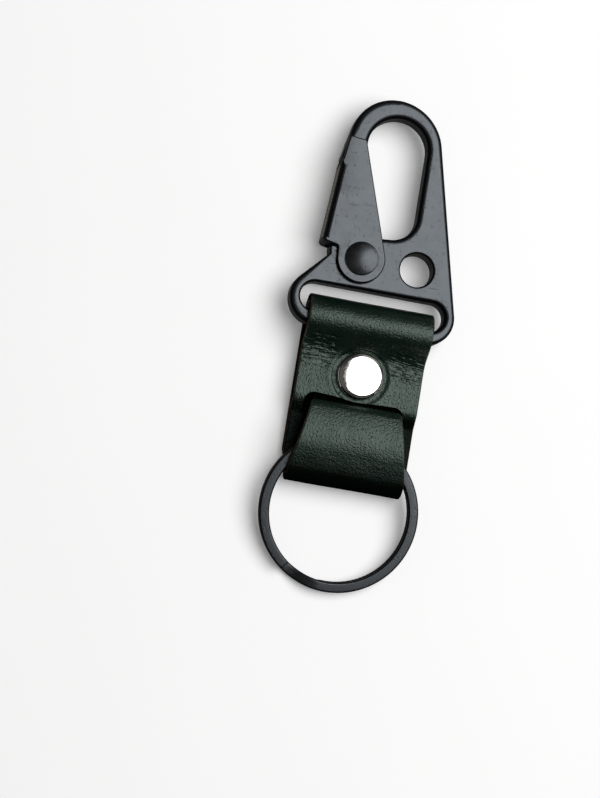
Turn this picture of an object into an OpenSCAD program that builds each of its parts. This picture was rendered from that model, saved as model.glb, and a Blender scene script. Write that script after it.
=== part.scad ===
// Belt key clip: a snap hook with a sprung gate, a riveted leather strap and a split ring.
// Millimetres. +Y points to the hook's nose, +Z out of its front face, and the clip lies on z = 0.
// Inside the modules, y is counted from the strap's rivet. The last lines centre the clip on y = 0.

/* [Hook frame] */
// Width of the frame across its two lobes
frame_w = 33.8; // [32.6:0.1:35]
// Thickness of the cast frame
frame_t = 4.4; // [3.8:0.1:4.6]
// Width of the bevel along the frame's edges
frame_bevel = 0.5; // [0.2:0.05:0.5]
// Radius of the two lower corners
corner_r = 5.5; // [4.8:0.1:6]
// Distance from the rivet to the middle of the strap bar
bar_y = 9.8; // [9.6:0.1:11]
// Width of the strap bar
bar_w = 2.8; // [2.2:0.1:3]
// Length of the strap slot
slot_w = 29.6; // [28:0.1:30]
// Height of the strap slot
slot_h = 5.8; // [5.4:0.1:7]
// Distance from the strap bar to the top of the nose
nose_up = 46.85; // [46:0.05:49]
// Sideways place of the top of the nose
nose_x = -1; // [-1.5:0.1:-0.5]
// Radius of the nose on its solid side
nose_back_r = 10.15; // [9.8:0.05:11]
// Radius of the nose on the gate's side
nose_front_r = 8.9; // [8.5:0.05:9.3]
// Radius of the throat at its top
throat_r = 6.2; // [5.8:0.05:6.3]
// Distance from the strap bar to the middle of the throat's top arc
throat_up = 36.95; // [36.6:0.05:37.6]
// Radius of the throat at its bottom
throat_base_r = 5.15; // [4.5:0.05:5.6]
// Distance from the strap bar to the middle of the throat's bottom arc
throat_base_up = 23.5; // [23:0.1:25]
// Radius of the lanyard hole
hole_r = 3.4; // [2.5:0.05:3.6]
// Sideways place of the lanyard hole
hole_x = 7.65; // [7:0.05:8]
// Width of the bevel round the lanyard hole
hole_bevel = 0.4; // [0.1:0.05:0.6]
// Radius of the nose tip's corners
tip_r = 0.6; // [0.6:0.05:0.7]
// Distance from the middle of the throat's top arc down to the nose tip's outer corner
tip_drop = 3.85; // [3.5:0.05:4]
// Sideways place of the nose tip's outer corner
tip_x = -10.45; // [-10.6:0.05:-10.3]

/* [Gate] */
// Sideways place of the gate's pivot
pivot_x = -4.05; // [-4.2:0.05:-3.9]
// Distance from the strap bar to the gate's pivot
pivot_up = 13.15; // [13:0.05:13.3]
// Radius of the frame's lug round the pivot
lug_r = 4.7; // [4.4:0.05:4.8]
// Thickness of the gate's sheet
gate_sheet = 1.2; // [1:0.05:1.3]
// Clearance between each cheek of the gate and the frame
gate_gap = 0.1; // [0.05:0.01:0.15]
// Radius of the gate's disc round the pivot
disc_r = 4.9; // [4.85:0.05:4.95]
// Width of the gate's tip
gate_tip_w = 3.55; // [3.2:0.05:3.8]
// Distance from the pivot to the gate's tip
gate_reach = 24.3; // [23.9:0.05:24.6]
// Distance from the pivot to the top of the gate's spine
spine_up = 18.6; // [18:0.05:18.7]
// Distance from the pivot down the spine to its heel
spine_low = 2.35; // [2.2:0.05:2.6]
// Number of grooves across the gate's spine
groove_n = 18; // [6:1:24]
// Depth of the grooves across the gate's spine
groove_d = 0.25; // [0.1:0.05:0.35]

/* [Gate rivet and spring] */
// Radius of the pivot rivet's shaft
pin_r = 1.6; // [1.2:0.05:1.7]
// Radius of the pivot rivet's heads
head_r = 3.4; // [2.8:0.05:3.8]
// Running clearance round the shaft
pin_gap = 0.05; // [0.02:0.01:0.1]
// Diameter of the spring's wire
wire_d = 0.5; // [0.4:0.05:0.5]
// Mean radius of the spring's coil
coil_r = 2.35; // [2.3:0.05:2.6]
// Rise of the spring's coil in one turn
coil_pitch = 0.95; // [0.93:0.01:1]
// Number of turns in the spring
coil_turns = 2; // [1:1:2]
// Height of the pocket that holds the spring
pocket_h = 2.6; // [2.55:0.05:2.8]
// Radius of the pocket that holds the spring
pocket_r = 3.6; // [3.5:0.05:3.8]

/* [Strap] */
// Width of the strap
strap_w = 25.4; // [25:0.1:26]
// Thickness of the leather
strap_t = 1.5; // [1.3:0.05:1.55]
// Gap left between layers that are pressed together
layer_gap = 0.05; // [0.02:0.01:0.08]
// Inner radius of the loop round the strap bar
loop_r = 3; // [2.95:0.05:3.1]
// Distance that the loop's middle stands above the bar's middle
loop_slack = 0.5; // [0.3:0.05:0.8]
// Distance from the rivet to the free end of the front panel
panel_reach = 18.7; // [18:0.1:18.8]
// Distance from the rivet to the bottom of the fold
fold_reach = 22.9; // [22.7:0.1:23.6]
// Width of the strap at the fold
fold_w = 23.6; // [22.8:0.1:23.8]
// Width of the tongue where it goes into the panel
tongue_w = 18.2; // [16:0.1:18.6]
// Distance from the rivet to the cut edge that the tongue goes under
mouth_reach = 5; // [4.95:0.05:5.2]
// Length of the cut-out below that edge
mouth_l = 3.8; // [3.6:0.05:4]
// Side clearance between the tongue and the cut-out
mouth_gap = 0.8; // [0.6:0.05:1]
// Distance from the rivet to the hidden end of the tongue
tongue_end = 4.6; // [3:0.1:5]

/* [Strap rivet] */
// Radius of the polished cap
cap_r = 4.8; // [4:0.05:4.85]
// Height of the cap's dome
dome_h = 1.3; // [0.8:0.05:1.6]
// Height of the cap's straight rim
rim_h = 0.5; // [0.4:0.05:0.6]
// Depth to which the cap is pressed into the leather
cap_sink = 0.1; // [0.05:0.05:0.3]
// Radius of the rivet's post
post_r = 1.4; // [1:0.05:1.7]
// Radius of the rivet's back head
back_r = 4.2; // [3.5:0.1:4.6]
// Thickness of the rivet's back head
back_h = 0.5; // [0.3:0.05:0.6]
// Clearance round the post and the heads in the leather
rivet_gap = 0.05; // [0.02:0.01:0.08]

/* [Split ring] */
// Outer diameter of the ring
ring_d = 32; // [31.5:0.1:32.5]
// Width of the flat wire, seen from the front
ring_wire_w = 2.05; // [1.6:0.05:2.2]
// Thickness of the flat wire
ring_wire_t = 1.08; // [0.9:0.01:1.1]
// Gap between the two turns
ring_turn_gap = 0.45; // [0.42:0.01:0.5]
// Sideways place of the ring's middle
ring_x = 0.2; // [-0.2:0.05:0.4]
// Distance from the rivet to the ring's middle
ring_reach = 27.5; // [27.3:0.05:27.9]
// Height of the ring's underside at its end in the strap
ring_lift = 4.25; // [4.2:0.05:4.5]
// Angle at which the upper turn ends
ring_end_a = 235; // [225:1:240]
// Angle over which the wire climbs from one turn to the other
ring_climb_a = 29; // [20:1:40]

/* [Hidden] */
$fn = 72;
// Overrun of every cut, and the smaller one of a bevel's cut, which the tip's corners allow
over = 1;
bevel_over = 0.04;
// Largest turn in one step of an outline's arc, in degrees
arc_step_a = 8;
// Smallest difference that counts
tiny = 0.000001;

// The strap bar's middle is at the middle height of the frame, the gate and the strap's loop
mid_z = loop_r + strap_t;
gate_inner_h = frame_t + 2 * gate_gap;
gate_h = gate_inner_h + 2 * gate_sheet;
head_h = mid_z - gate_h / 2 - gate_gap;

// Places in the frame
corner_x = frame_w / 2 - corner_r;
corner_y = bar_y - bar_w / 2 + corner_r;
slot_y = bar_y + bar_w / 2 + slot_h / 2;
pivot_y = bar_y + pivot_up;
nose_y = bar_y + nose_up;
throat_y = bar_y + throat_up;
throat_base_y = bar_y + throat_base_up;
// Distance from the throat's top arc down to the nose tip's inner corner
tip_inner_drop = 0.85;

// The stop on the lug that the gate's heel rests on, and the hollow beside it
stop_r = 0.65;
stop_left = 5.8;
stop_up = 1.45;
hollow_r = 0.6;
hollow_left = 6.9;
hollow_up = 0.35;

// Corners of the gate's cheek, as radii and distances from the pivot
cheek_r = 0.4;
tip_left = 5.75;
tip_lean = 0.25;
notch_r = 0.3;
notch_left = 7.05;
notch_rise = 1.05;
spine_r = 0.5;
spine_left = 6.58;
spine_drop = 0.3;
heel_r = 0.6;
heel_left = 7.67;
neck_r = 0.45;
neck_left = 5.45;
neck_up = 1.4;
// The web across the heel, which meets the stop
web_left = 5.65;
web_up = 2.45;
web_h = 1.3;
// The chamfer along the spine's two long edges
spine_chamfer = 0.6;
// The land between two grooves, as a share of a groove's depth
land_share = 0.4;

// The gate's rivet: the height of its heads' domes, as a share of the heads
head_dome_share = 0.7;
// The spring: its first angle, its short leg, and the seat of its long leg
coil_a = 40;
short_leg = 2;
leg_seat = 0.3;
coil_step_a = 15;
wire_sides = 8;
// How much narrower than its pocket the pocket's mouth is, on each side
pocket_step = 0.3;

// Heights of the strap's layers, at the middle of each
back_z = strap_t / 2;
tuck_z = back_z + strap_t + layer_gap;
panel_z = tuck_z + strap_t + layer_gap;
layer_top_z = strap_t + layer_gap / 2;
loop_y = bar_y + loop_slack;
loop_mid_r = loop_r + strap_t / 2;
// The strap's bends, as radii and places of its middle line
fold_r = 3;
fold_y = -fold_reach + strap_t / 2 + fold_r;
ridge_lead = 0.5;
ridge_y = -ring_reach + ring_d / 2 - ridge_lead;
ridge_gap = 0.2;
// The tongue's hump over the ring: its top, and its radii on the fold's side and on the mouth's side
hump_lead = 1.3;
hump_y = ridge_y - hump_lead;
hump_rise = 0.12;
hump_r = 12;
crown_r = 17;
// The tongue's plunge through the mouth: its gap to the mouth's edge, and its bends above and below
plunge_gap = 1.1;
plunge_y = -mouth_reach - plunge_gap - strap_t / 2;
plunge_r = 1.6;
dive_r = 1.3;
rise_r = 3;
rise_run = 4.3;
rise_y = -mouth_reach - rise_run;
crest_y = -mouth_reach;
climb_r = 2.5;
climb_y = 3.8;
join_y = -10;
// Corner radii of the strap's outline and its cut-out, and the length over which it narrows
panel_corner_r = 1.5;
mouth_corner_r = 1.2;
flare_l = 2.5;

// The strap rivet: its heights, and the depth of the cap's socket
cap_z = panel_z + strap_t / 2 - cap_sink;
socket_l = 0.8;
socket_gap = 0.02;

// The ring's tilt and height
ring_r = ring_d / 2;
ring_edge = 0.25;
ring_h = 2 * ring_wire_t + ring_turn_gap;
ring_tilt = asin(ring_lift / (ring_d - 2 * ring_edge));
ring_mid_r = ring_r - ring_wire_w / 2;
ring_z = (ring_r - ring_edge) * sin(ring_tilt) + ring_h / 2 * cos(ring_tilt);
ring_step_a = 7.5;
ridge_z = ring_z + (ridge_y + ring_reach) * tan(ring_tilt) + ring_h / 2 / cos(ring_tilt)
    + ridge_gap + strap_t / 2;
hump_z = ridge_z + hump_rise;
plunge_z = hump_z - crown_r + sqrt(pow(crown_r - plunge_r, 2) - pow(plunge_y - plunge_r - hump_y, 2));

// The far end of the ring, and the shift that centres the clip
end_y = -ring_reach - ring_r * cos(ring_tilt) - (ring_h / 2 - ring_edge) * sin(ring_tilt);
mid_y = (nose_y + end_y) / 2;

// Outlines. A path is a list of [x, y, radius, turn]. The line runs round each circle, to the left if
// turn is 1 and to the right if it is -1, and straight from one circle to the next. inset moves the
// whole line to its left by that distance, which is inwards where the path runs anticlockwise.

// Direction of the outward normal on the straight line from circle a to circle b
function normal_a(a, b) =
    let (
        reach = norm([b.x - a.x, b.y - a.y]),
        share = (a[3] * a[2] - b[3] * b[2]) / reach
    )
    atan2(b.y - a.y, b.x - a.x) - acos(max(-1, min(1, share)));

// Point on a circle where its normal has the angle a
function edge(c, a, inset) =
    let (r = c[3] * c[2] - inset)
    [c.x + r * cos(a), c.y + r * sin(a)];

// Turn from one normal to the next
function turn_a(from, to, way) =
    way > 0
    ? (to - from + 720 + tiny) % 360 - tiny
    : tiny - (from - to + 720 + tiny) % 360;

// Points round one circle
function arc(c, from, to, inset) =
    let (
        turn = turn_a(from, to, c[3]),
        steps = max(1, ceil(abs(turn) / arc_step_a - tiny))
    )
    [for (k = [0:steps]) edge(c, from + turn * k / steps, inset)];

// The points of a line without those that lie on the one before them
function distinct(points) =
    [for (i = [0:len(points) - 1])
        if (i == 0 ? norm(points[0] - points[len(points) - 1]) > tiny * 100
            : norm(points[i] - points[i - 1]) > tiny * 100) points[i]];

// Points of a closed line
function outline(path, inset = 0) =
    let (n = len(path))
    distinct([for (i = [0:n - 1])
        each arc(path[i], normal_a(path[(i + n - 1) % n], path[i]),
            normal_a(path[i], path[(i + 1) % n]), inset)]);

// Points of an open line
function run(path, inset) =
    let (last = len(path) - 1)
    [for (i = [0:last])
        each i == 0 ? [edge(path[0], normal_a(path[0], path[1]), inset)]
        : i == last ? [edge(path[last], normal_a(path[last - 1], path[last]), inset)]
        : arc(path[i], normal_a(path[i - 1], path[i]), normal_a(path[i], path[i + 1]), inset)];

// A line's points in the opposite order
function backwards(points) = [for (i = [len(points) - 1:-1:0]) points[i]];

// A solid through one outline at several [inset, height] corners. It is a ring along the outline, or,
// with ends, a slab whose faces are at the first and the last corner, for an outline with no hollows.
module skin(path, corners, ends) {
    loops = [for (c = corners) [for (p = outline(path, c[0])) [p.x, p.y, c[1]]]];
    n = len(loops[0]);
    m = len(corners);
    polyhedron(
        points = [for (loop = loops) each loop],
        faces = concat(
            ends ? [[for (i = [0:n - 1]) i], [for (i = [n - 1:-1:0]) (m - 1) * n + i]] : [],
            [for (k = [0:ends ? m - 2 : m - 1], i = [0:n - 1])
                let (j = (i + 1) % n, above = (k + 1) % m)
                each [
                    [k * n + i, above * n + i, above * n + j],
                    [k * n + i, above * n + j, k * n + j]
                ]]
        )
    );
}

// A slab with a bevel along both faces
module bevelled(path, h, bevel) {
    difference() {
        linear_extrude(h) polygon(outline(path));
        for (side = [0, 1])
            translate([0, 0, side * h])
                mirror([0, 0, 1 - side])
                    skin(
                        path,
                        [[-bevel_over, -bevel - bevel_over], [-bevel_over, bevel_over],
                            [bevel + bevel_over, bevel_over]],
                        false
                    );
    }
}

// A cut through a slab, with the bevel that the slab keeps along it
module bevelled_cut(path, h, bevel) {
    skin(
        path,
        [[-bevel - over, -over], [0, bevel], [0, h - bevel], [-bevel - over, h + over]],
        true
    );
}

// The cross-sections of a wire, [[sideways, up]], set along a path that stays nearly level
function wire_loops(path, section) =
    [for (i = [0:len(path) - 1])
        let (
            ahead = path[min(i + 1, len(path) - 1)] - path[max(i - 1, 0)],
            along = ahead / norm(ahead),
            right = cross(along, [0, 0, 1]) / norm(cross(along, [0, 0, 1])),
            up = cross(right, along)
        )
        [for (p = section) path[i] + p.x * right + p.y * up]];

// The least distance between points of loops that are at least the given number apart
function least_gap(loops, apart) =
    min([for (i = [0:len(loops) - 1 - apart], j = [i + apart:len(loops) - 1])
        min([for (p = loops[i], q = loops[j]) norm(p - q)])]);

// The solid of a wire
module wire(loops) {
    n = len(loops);
    m = len(loops[0]);
    polyhedron(
        points = [for (loop = loops) each loop],
        faces = concat(
            [[for (k = [m - 1:-1:0]) k]],
            [[for (k = [0:m - 1]) (n - 1) * m + k]],
            [for (i = [0:n - 2], k = [0:m - 1])
                let (j = (k + 1) % m)
                each [
                    [i * m + k, i * m + j, (i + 1) * m + j],
                    [i * m + k, (i + 1) * m + j, (i + 1) * m + k]
                ]]
        )
    );
}

// A domed disc that stands on z = 0
module dome(r, h, rise) {
    ball_r = (r * r + rise * rise) / (2 * rise);
    intersection() {
        cylinder(r = r, h = h);
        translate([0, 0, h - ball_r]) sphere(r = ball_r);
    }
}

// Moves a piece from the rivet's y to the clip's
module placed() {
    translate([0, -mid_y, 0]) children();
}

// The frame's outline, anticlockwise from the lower right corner
frame_path = [
    [corner_x, corner_y, corner_r, 1],
    [nose_x, nose_y - nose_back_r, nose_back_r, 1],
    [nose_x, nose_y - nose_front_r, nose_front_r, 1],
    [tip_x, throat_y - tip_drop, tip_r, 1],
    [-throat_r - tip_r, throat_y - tip_inner_drop, tip_r, 1],
    [0, throat_y, throat_r, -1],
    [throat_r - throat_base_r, throat_base_y, throat_base_r, -1],
    [pivot_x, pivot_y, lug_r, 1],
    [pivot_x - stop_left, pivot_y + stop_up, stop_r, 1],
    [pivot_x - hollow_left, pivot_y + hollow_up, hollow_r, -1],
    [-corner_x, corner_y, corner_r, 1]
];
slot_path = [
    [slot_w / 2 - slot_h / 2, slot_y, slot_h / 2, 1],
    [slot_h / 2 - slot_w / 2, slot_y, slot_h / 2, 1]
];

// The gate's outline, anticlockwise from its disc
spine_top = [pivot_x - spine_left, pivot_y + spine_up - spine_drop, spine_r, 1];
spine_heel = [pivot_x - heel_left, pivot_y + spine_low + heel_r, heel_r, 1];
gate_path = [
    [pivot_x, pivot_y, disc_r, 1],
    [pivot_x - tip_left + gate_tip_w - 2 * cheek_r, pivot_y + gate_reach - cheek_r - tip_lean, cheek_r, 1],
    [pivot_x - tip_left, pivot_y + gate_reach - cheek_r, cheek_r, 1],
    [pivot_x - notch_left, pivot_y + spine_up + notch_rise, notch_r, -1],
    spine_top,
    spine_heel,
    [pivot_x - neck_left, pivot_y + neck_up, neck_r, -1]
];

// The outward normal of the spine, its outer line and its inner line, from the heel up
spine_a = normal_a(spine_top, spine_heel);
spine_out = [cos(spine_a), sin(spine_a)];
spine_edge = [edge(spine_heel, spine_a, 0), edge(spine_top, spine_a, 0)];
spine_l = norm(spine_edge[1] - spine_edge[0]);
spine_inside = [edge(spine_heel, spine_a, gate_sheet), edge(spine_top, spine_a, gate_sheet)];

// The point of the spine's inner line at a given y
function inside_at(y) =
    spine_inside[0] + (spine_inside[1] - spine_inside[0])
        * (y - spine_inside[0].y) / (spine_inside[1].y - spine_inside[0].y);

// The spring's line: a short leg, the coil, and a long leg that ends at the spine
coil_points = [for (a = [0:coil_step_a:360 * coil_turns])
    [
        pivot_x + coil_r * cos(coil_a + a),
        pivot_y + coil_r * sin(coil_a + a),
        mid_z + coil_pitch * (a / 360 - coil_turns / 2)
    ]];
coil_last = coil_points[len(coil_points) - 1];
leg_way = [-sin(coil_a), cos(coil_a), 0];
long_leg = (spine_out * (spine_inside[0] - [coil_last.x, coil_last.y]) - wire_d / 2 - leg_seat)
    / (spine_out * [leg_way.x, leg_way.y]);
spring_loops = wire_loops(
    concat([coil_points[0] - short_leg * leg_way], coil_points, [coil_last + long_leg * leg_way]),
    [for (k = [0:wire_sides - 1]) wire_d / 2 * [cos(360 * k / wire_sides), sin(360 * k / wire_sides)]]
);
echo(least_gap_of_the_spring = least_gap(spring_loops, 180 / coil_step_a));

// The ring's line: a lower turn, a climb beside the two ends, and an upper turn
ring_rise = ring_wire_t + ring_turn_gap;
ring_loops = wire_loops(
    [for (a = [ring_end_a + ring_climb_a - 360:ring_step_a:ring_end_a + 360])
        let (climbed = min(1, max(0, (a - ring_end_a) / ring_climb_a)))
        [ring_mid_r * cos(a), ring_mid_r * sin(a), -ring_rise / 2 * cos(180 * climbed)]],
    [for (side = [[1, -1], [1, 1], [-1, 1], [-1, -1]])
        let (w = ring_wire_w / 2, t = ring_wire_t / 2)
        each side.x * side.y < 0
            ? [[side.x * (w - ring_edge), side.y * t], [side.x * w, side.y * (t - ring_edge)]]
            : [[side.x * w, side.y * (t - ring_edge)], [side.x * (w - ring_edge), side.y * t]]]
);
echo(least_gap_of_the_ring = least_gap(ring_loops, 180 / ring_step_a));

// The strap's middle line in y and z: the panel, the loop and the back, then the fold and the tongue
front_path = [
    [-panel_reach, tuck_z, 0, 1],
    [rise_y, tuck_z + rise_r, rise_r, 1],
    [crest_y, panel_z - rise_r, rise_r, -1],
    [climb_y, panel_z + climb_r, climb_r, 1],
    [loop_y, mid_z, loop_mid_r, -1],
    [join_y, back_z, 0, 1]
];
rear_path = [
    [join_y + over, back_z, 0, 1],
    [fold_y, back_z + fold_r, fold_r, -1],
    [hump_y, hump_z - hump_r, hump_r, -1],
    [hump_y, hump_z - crown_r, crown_r, -1],
    [plunge_y - plunge_r, plunge_z, plunge_r, -1],
    [plunge_y + dive_r, tuck_z + dive_r, dive_r, 1],
    [tongue_end, tuck_z, 0, 1]
];

// The strap's outlines seen from the front, as the right half of each, from the bottom up
front_plan = [
    [strap_w / 2 - panel_corner_r, panel_corner_r - panel_reach, panel_corner_r, 1],
    [strap_w / 2, loop_y + loop_mid_r + strap_t, 0, 1]
];
back_plan = [
    [fold_w / 2, -fold_reach - over, 0, 1],
    [fold_w / 2, fold_y, 0, 1],
    [strap_w / 2, fold_y + flare_l, 0, 1],
    [strap_w / 2, join_y + 2 * over, 0, 1]
];
tongue_plan = [
    [fold_w / 2, -fold_reach - over, 0, 1],
    [fold_w / 2, fold_y, 0, 1],
    [tongue_w / 2, -mouth_reach - mouth_l / 2, 0, 1],
    [tongue_w / 2, tongue_end + over, 0, 1]
];
mouth_plan = [
    [tongue_w / 2 + mouth_gap, -mouth_reach - mouth_l, 0, 1],
    [tongue_w / 2 + mouth_gap - mouth_corner_r, -mouth_reach - mouth_corner_r, mouth_corner_r, 1]
];

// Leather along a middle line, as wide as the strap
module leather(path) {
    rotate([90, 0, 90])
        translate([0, 0, -strap_w / 2])
            linear_extrude(strap_w)
                polygon(concat(run(path, -strap_t / 2), backwards(run(path, strap_t / 2))));
}

// All that lies over and under half an outline and its mirror image, between two heights
module column(plan, from, to) {
    mirrored = [for (c = backwards(plan)) [-c.x, c.y, c[2], c[3]]];
    translate([0, 0, from])
        linear_extrude(to - from)
            polygon(outline(concat(plan, mirrored)));
}

// The cast frame, with its nose, throat, lanyard hole, strap slot and lug
module hook_body() {
    color("dimgray")
    placed()
    difference() {
        translate([0, 0, mid_z - frame_t / 2]) bevelled(frame_path, frame_t, frame_bevel);
        translate([0, 0, mid_z - frame_t / 2]) bevelled_cut(slot_path, frame_t, frame_bevel);
        translate([hole_x, pivot_y, mid_z]) {
            cylinder(r = hole_r, h = frame_t + over, center = true);
            for (side = [0, 1])
                mirror([0, 0, side])
                    translate([0, 0, frame_t / 2 - hole_bevel])
                        cylinder(r1 = hole_r, r2 = hole_r + hole_bevel + over, h = hole_bevel + over);
        }
        translate([pivot_x, pivot_y, mid_z]) {
            cylinder(r = pin_r + pin_gap, h = frame_t + over, center = true);
            cylinder(r = pocket_r, h = pocket_h, center = true);
            translate([pocket_step - pocket_r, 0, -pocket_h / 2])
                cube([2 * (pocket_r - pocket_step), lug_r + over, pocket_h]);
        }
    }
}

// The sprung gate: two cheeks and a grooved spine, bent from one sheet
module gate() {
    low_y = pivot_y - disc_r - over;
    tongue_y = pivot_y + spine_up;
    high_y = pivot_y + gate_reach + over;
    near_x = pivot_x + disc_r + over;
    far_x = pivot_x - heel_left - 2 * heel_r;
    spine_mid = (spine_edge[0] + spine_edge[1]) / 2;
    groove = (spine_edge[1] - spine_edge[0]) / groove_n;
    color("dimgray")
    placed()
    translate([0, 0, mid_z])
    difference() {
        translate([0, 0, -gate_h / 2])
            linear_extrude(gate_h)
                polygon(outline(gate_path));
        difference() {
            translate([0, 0, -gate_inner_h / 2])
                linear_extrude(gate_inner_h)
                    polygon([
                        inside_at(low_y),
                        inside_at(tongue_y),
                        [far_x, tongue_y],
                        [far_x, high_y],
                        [near_x, high_y],
                        [near_x, low_y]
                    ]);
            translate([pivot_x - heel_left, pivot_y + web_up, -gate_h / 2])
                cube([heel_left - web_left, web_h, gate_h]);
        }
        translate([pivot_x, pivot_y, 0])
            cylinder(r = pin_r + pin_gap, h = gate_h + over, center = true);
        translate([0, 0, -gate_h / 2 - over])
            linear_extrude(gate_h + 2 * over)
                polygon(concat(
                    [spine_edge[0] + over * spine_out],
                    [for (k = [0:2 * groove_n])
                        spine_edge[0] + groove * k / 2
                            + (k % 2 == 0 ? land_share : -1) * groove_d * spine_out],
                    [spine_edge[1] + over * spine_out]
                ));
        for (side = [-1, 1])
            translate([spine_mid.x, spine_mid.y, side * gate_h / 2])
                rotate([45, 0, spine_a - 90])
                    cube([spine_l + 2 * spine_r, spine_chamfer * sqrt(2), spine_chamfer * sqrt(2)],
                        center = true);
    }
}

// The rivet that the gate turns on
module gate_pivot_rivet() {
    color("black")
    placed()
    translate([pivot_x, pivot_y, mid_z]) {
        cylinder(r = pin_r, h = gate_h + 4 * gate_gap, center = true);
        for (side = [0, 1])
            mirror([0, 0, side])
                translate([0, 0, gate_h / 2 + gate_gap])
                    dome(head_r, head_h, head_dome_share * head_h);
    }
}

// The spring that holds the gate shut, wound round the pivot inside the lug
module gate_spring() {
    color("silver")
    placed()
    wire(spring_loops);
}

// The one strip of leather: panel, loop, back, fold and tongue
module leather_strap() {
    color("darkslategray")
    placed()
    difference() {
        union() {
            difference() {
                intersection() {
                    leather(front_path);
                    column(front_plan, -over, 2 * mid_z + over);
                }
                column(mouth_plan, layer_top_z, 2 * mid_z);
            }
            intersection() {
                leather(rear_path);
                union() {
                    column(back_plan, -over, layer_top_z);
                    column(tongue_plan, layer_top_z, 2 * mid_z + over);
                }
            }
        }
        translate([0, 0, -over]) cylinder(r = post_r + rivet_gap, h = cap_z + 2 * over);
        translate([0, 0, -over]) cylinder(r = back_r + rivet_gap, h = back_h + over);
        translate([0, 0, cap_z]) cylinder(r = cap_r + rivet_gap, h = rim_h + dome_h);
    }
}

// The polished cap of the strap's rivet
module rivet_cap() {
    color("white")
    placed()
    translate([0, 0, cap_z])
    difference() {
        dome(cap_r, rim_h + dome_h, dome_h);
        translate([0, 0, -over]) cylinder(r = post_r + socket_gap, h = socket_l + over);
    }
}

// The back half of the strap's rivet, with its post
module rivet_post() {
    color("silver")
    placed() {
        cylinder(r = back_r, h = back_h);
        cylinder(r = post_r, h = cap_z + socket_l);
    }
}

// The ring of two turns, which leans on the table at its far end
module split_ring() {
    color("black")
    placed()
    translate([ring_x, -ring_reach, ring_z])
        rotate([ring_tilt, 0, 0])
            wire(ring_loops);
}

hook_body();
gate();
gate_pivot_rivet();
gate_spring();
leather_strap();
rivet_cap();
rivet_post();
split_ring();
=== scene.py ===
"""Belt key clip: snap hook, sprung gate, folded leather strap, strap rivet and split ring.

Sizes are millimetres in the layout of the part's source: y is counted from the strap's rivet, z from the
surface that the clip lies on. A mesh is moved to the frame's origin and to metres when it is made.
"""

import logging
import math
from dataclasses import dataclass
from enum import Enum, IntEnum
from typing import Any, Callable, ClassVar, Sequence

import bmesh
import bpy
import numpy as np
from mathutils import Matrix, Vector
from mathutils.geometry import tessellate_polygon

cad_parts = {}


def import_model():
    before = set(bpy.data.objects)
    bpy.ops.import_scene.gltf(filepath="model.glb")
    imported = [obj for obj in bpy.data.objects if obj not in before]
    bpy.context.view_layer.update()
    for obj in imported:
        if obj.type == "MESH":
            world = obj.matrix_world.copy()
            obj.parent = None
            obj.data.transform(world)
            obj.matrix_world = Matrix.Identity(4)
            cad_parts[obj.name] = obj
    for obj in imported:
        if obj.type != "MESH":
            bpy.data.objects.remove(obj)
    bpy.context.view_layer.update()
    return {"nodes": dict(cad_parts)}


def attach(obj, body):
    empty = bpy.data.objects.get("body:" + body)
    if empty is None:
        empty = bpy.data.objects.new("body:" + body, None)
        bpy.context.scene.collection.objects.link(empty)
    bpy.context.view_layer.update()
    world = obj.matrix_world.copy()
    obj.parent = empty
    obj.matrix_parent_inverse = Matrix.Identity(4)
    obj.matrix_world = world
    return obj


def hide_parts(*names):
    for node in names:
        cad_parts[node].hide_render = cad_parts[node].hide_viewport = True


LOG = logging.getLogger("belt_key_clip")
METRE = 0.001
# The frame's origin along the clip, and the height of the hook's middle plane
MID_Y = 6.57698
MID_Z = 4.5
TINY = 1e-6
# An arc of fewer degrees than this is a single point
LEAST_TURN = 1e-3
# The noise repeats after this many cells, and each octave is shifted by so many cells
NOISE_CORNERS = 256
OCTAVE_SHIFT = (37.0, 61.0)
# Limits of 1 less the normal's z, between which the share of a flank and of a wall grows
FLANK_LEAN = (0.008, 0.09)
WALL_LEAN = (0.1, 0.42)
# A seam: metres from its plane, metres between corners that become one, and the least slant of its faces
SEAM_REACH = 1e-7
SEAM_MERGE = 2e-6
SEAM_FLAT = 0.99
# Points round a bore, and on the quarter circles and the dome of a rivet's head
BORE_POINTS = 48
EDGE_POINTS = 5
SHOULDER_POINTS = 9
DOME_POINTS = 25
WHITE = "#ffffff"


class Body(Enum):
    """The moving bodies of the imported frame."""

    HOOK = "hook"
    GATE = "gate"
    STRAP = "strap"
    RING = "ring"


class Side(Enum):
    """Which way the faces of a wall look, seen from the line that it stands on."""

    OUT = 1
    IN = -1


class Turn(IntEnum):
    """Circles of the strap's path that mark its stations, numbered from the panel's free end."""

    RISE = 1
    LOOP = 4
    FOLD = 5
    CROWN = 7
    PLUNGE = 8
    DIVE = 9


class Kind(Enum):
    """The kinds of shader node in use.

    Inputs whose names repeat go by number. A RANGE maps input 0 from between inputs 1 and 2 to between 3 and
    4, which are 0 and 1 unless they are set. A MIX blends colours 6 and 7 by share 0 into output 2.
    """

    PRINCIPLED = "ShaderNodeBsdfPrincipled"
    BACKGROUND = "ShaderNodeBackground"
    MATERIAL = "ShaderNodeOutputMaterial"
    WORLD = "ShaderNodeOutputWorld"
    COORDINATES = "ShaderNodeTexCoord"
    MAPPING = "ShaderNodeMapping"
    ATTRIBUTE = "ShaderNodeAttribute"
    NOISE = "ShaderNodeTexNoise"
    CELLS = "ShaderNodeTexVoronoi"
    RANGE = "ShaderNodeMapRange"
    MIX = "ShaderNodeMix"
    MATH = "ShaderNodeMath"
    BUMP = "ShaderNodeBump"
    RAY = "ShaderNodeLightPath"


# Lines, noise and meshes


def smooth(value: np.ndarray, low: float, high: float) -> np.ndarray:
    """Smooth step: 0 below low, 1 above high, 3t^2 - 2t^3 between them."""
    t = np.clip((value - low) / (high - low), 0.0, 1.0)
    return t * t * (3.0 - 2.0 * t)


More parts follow.
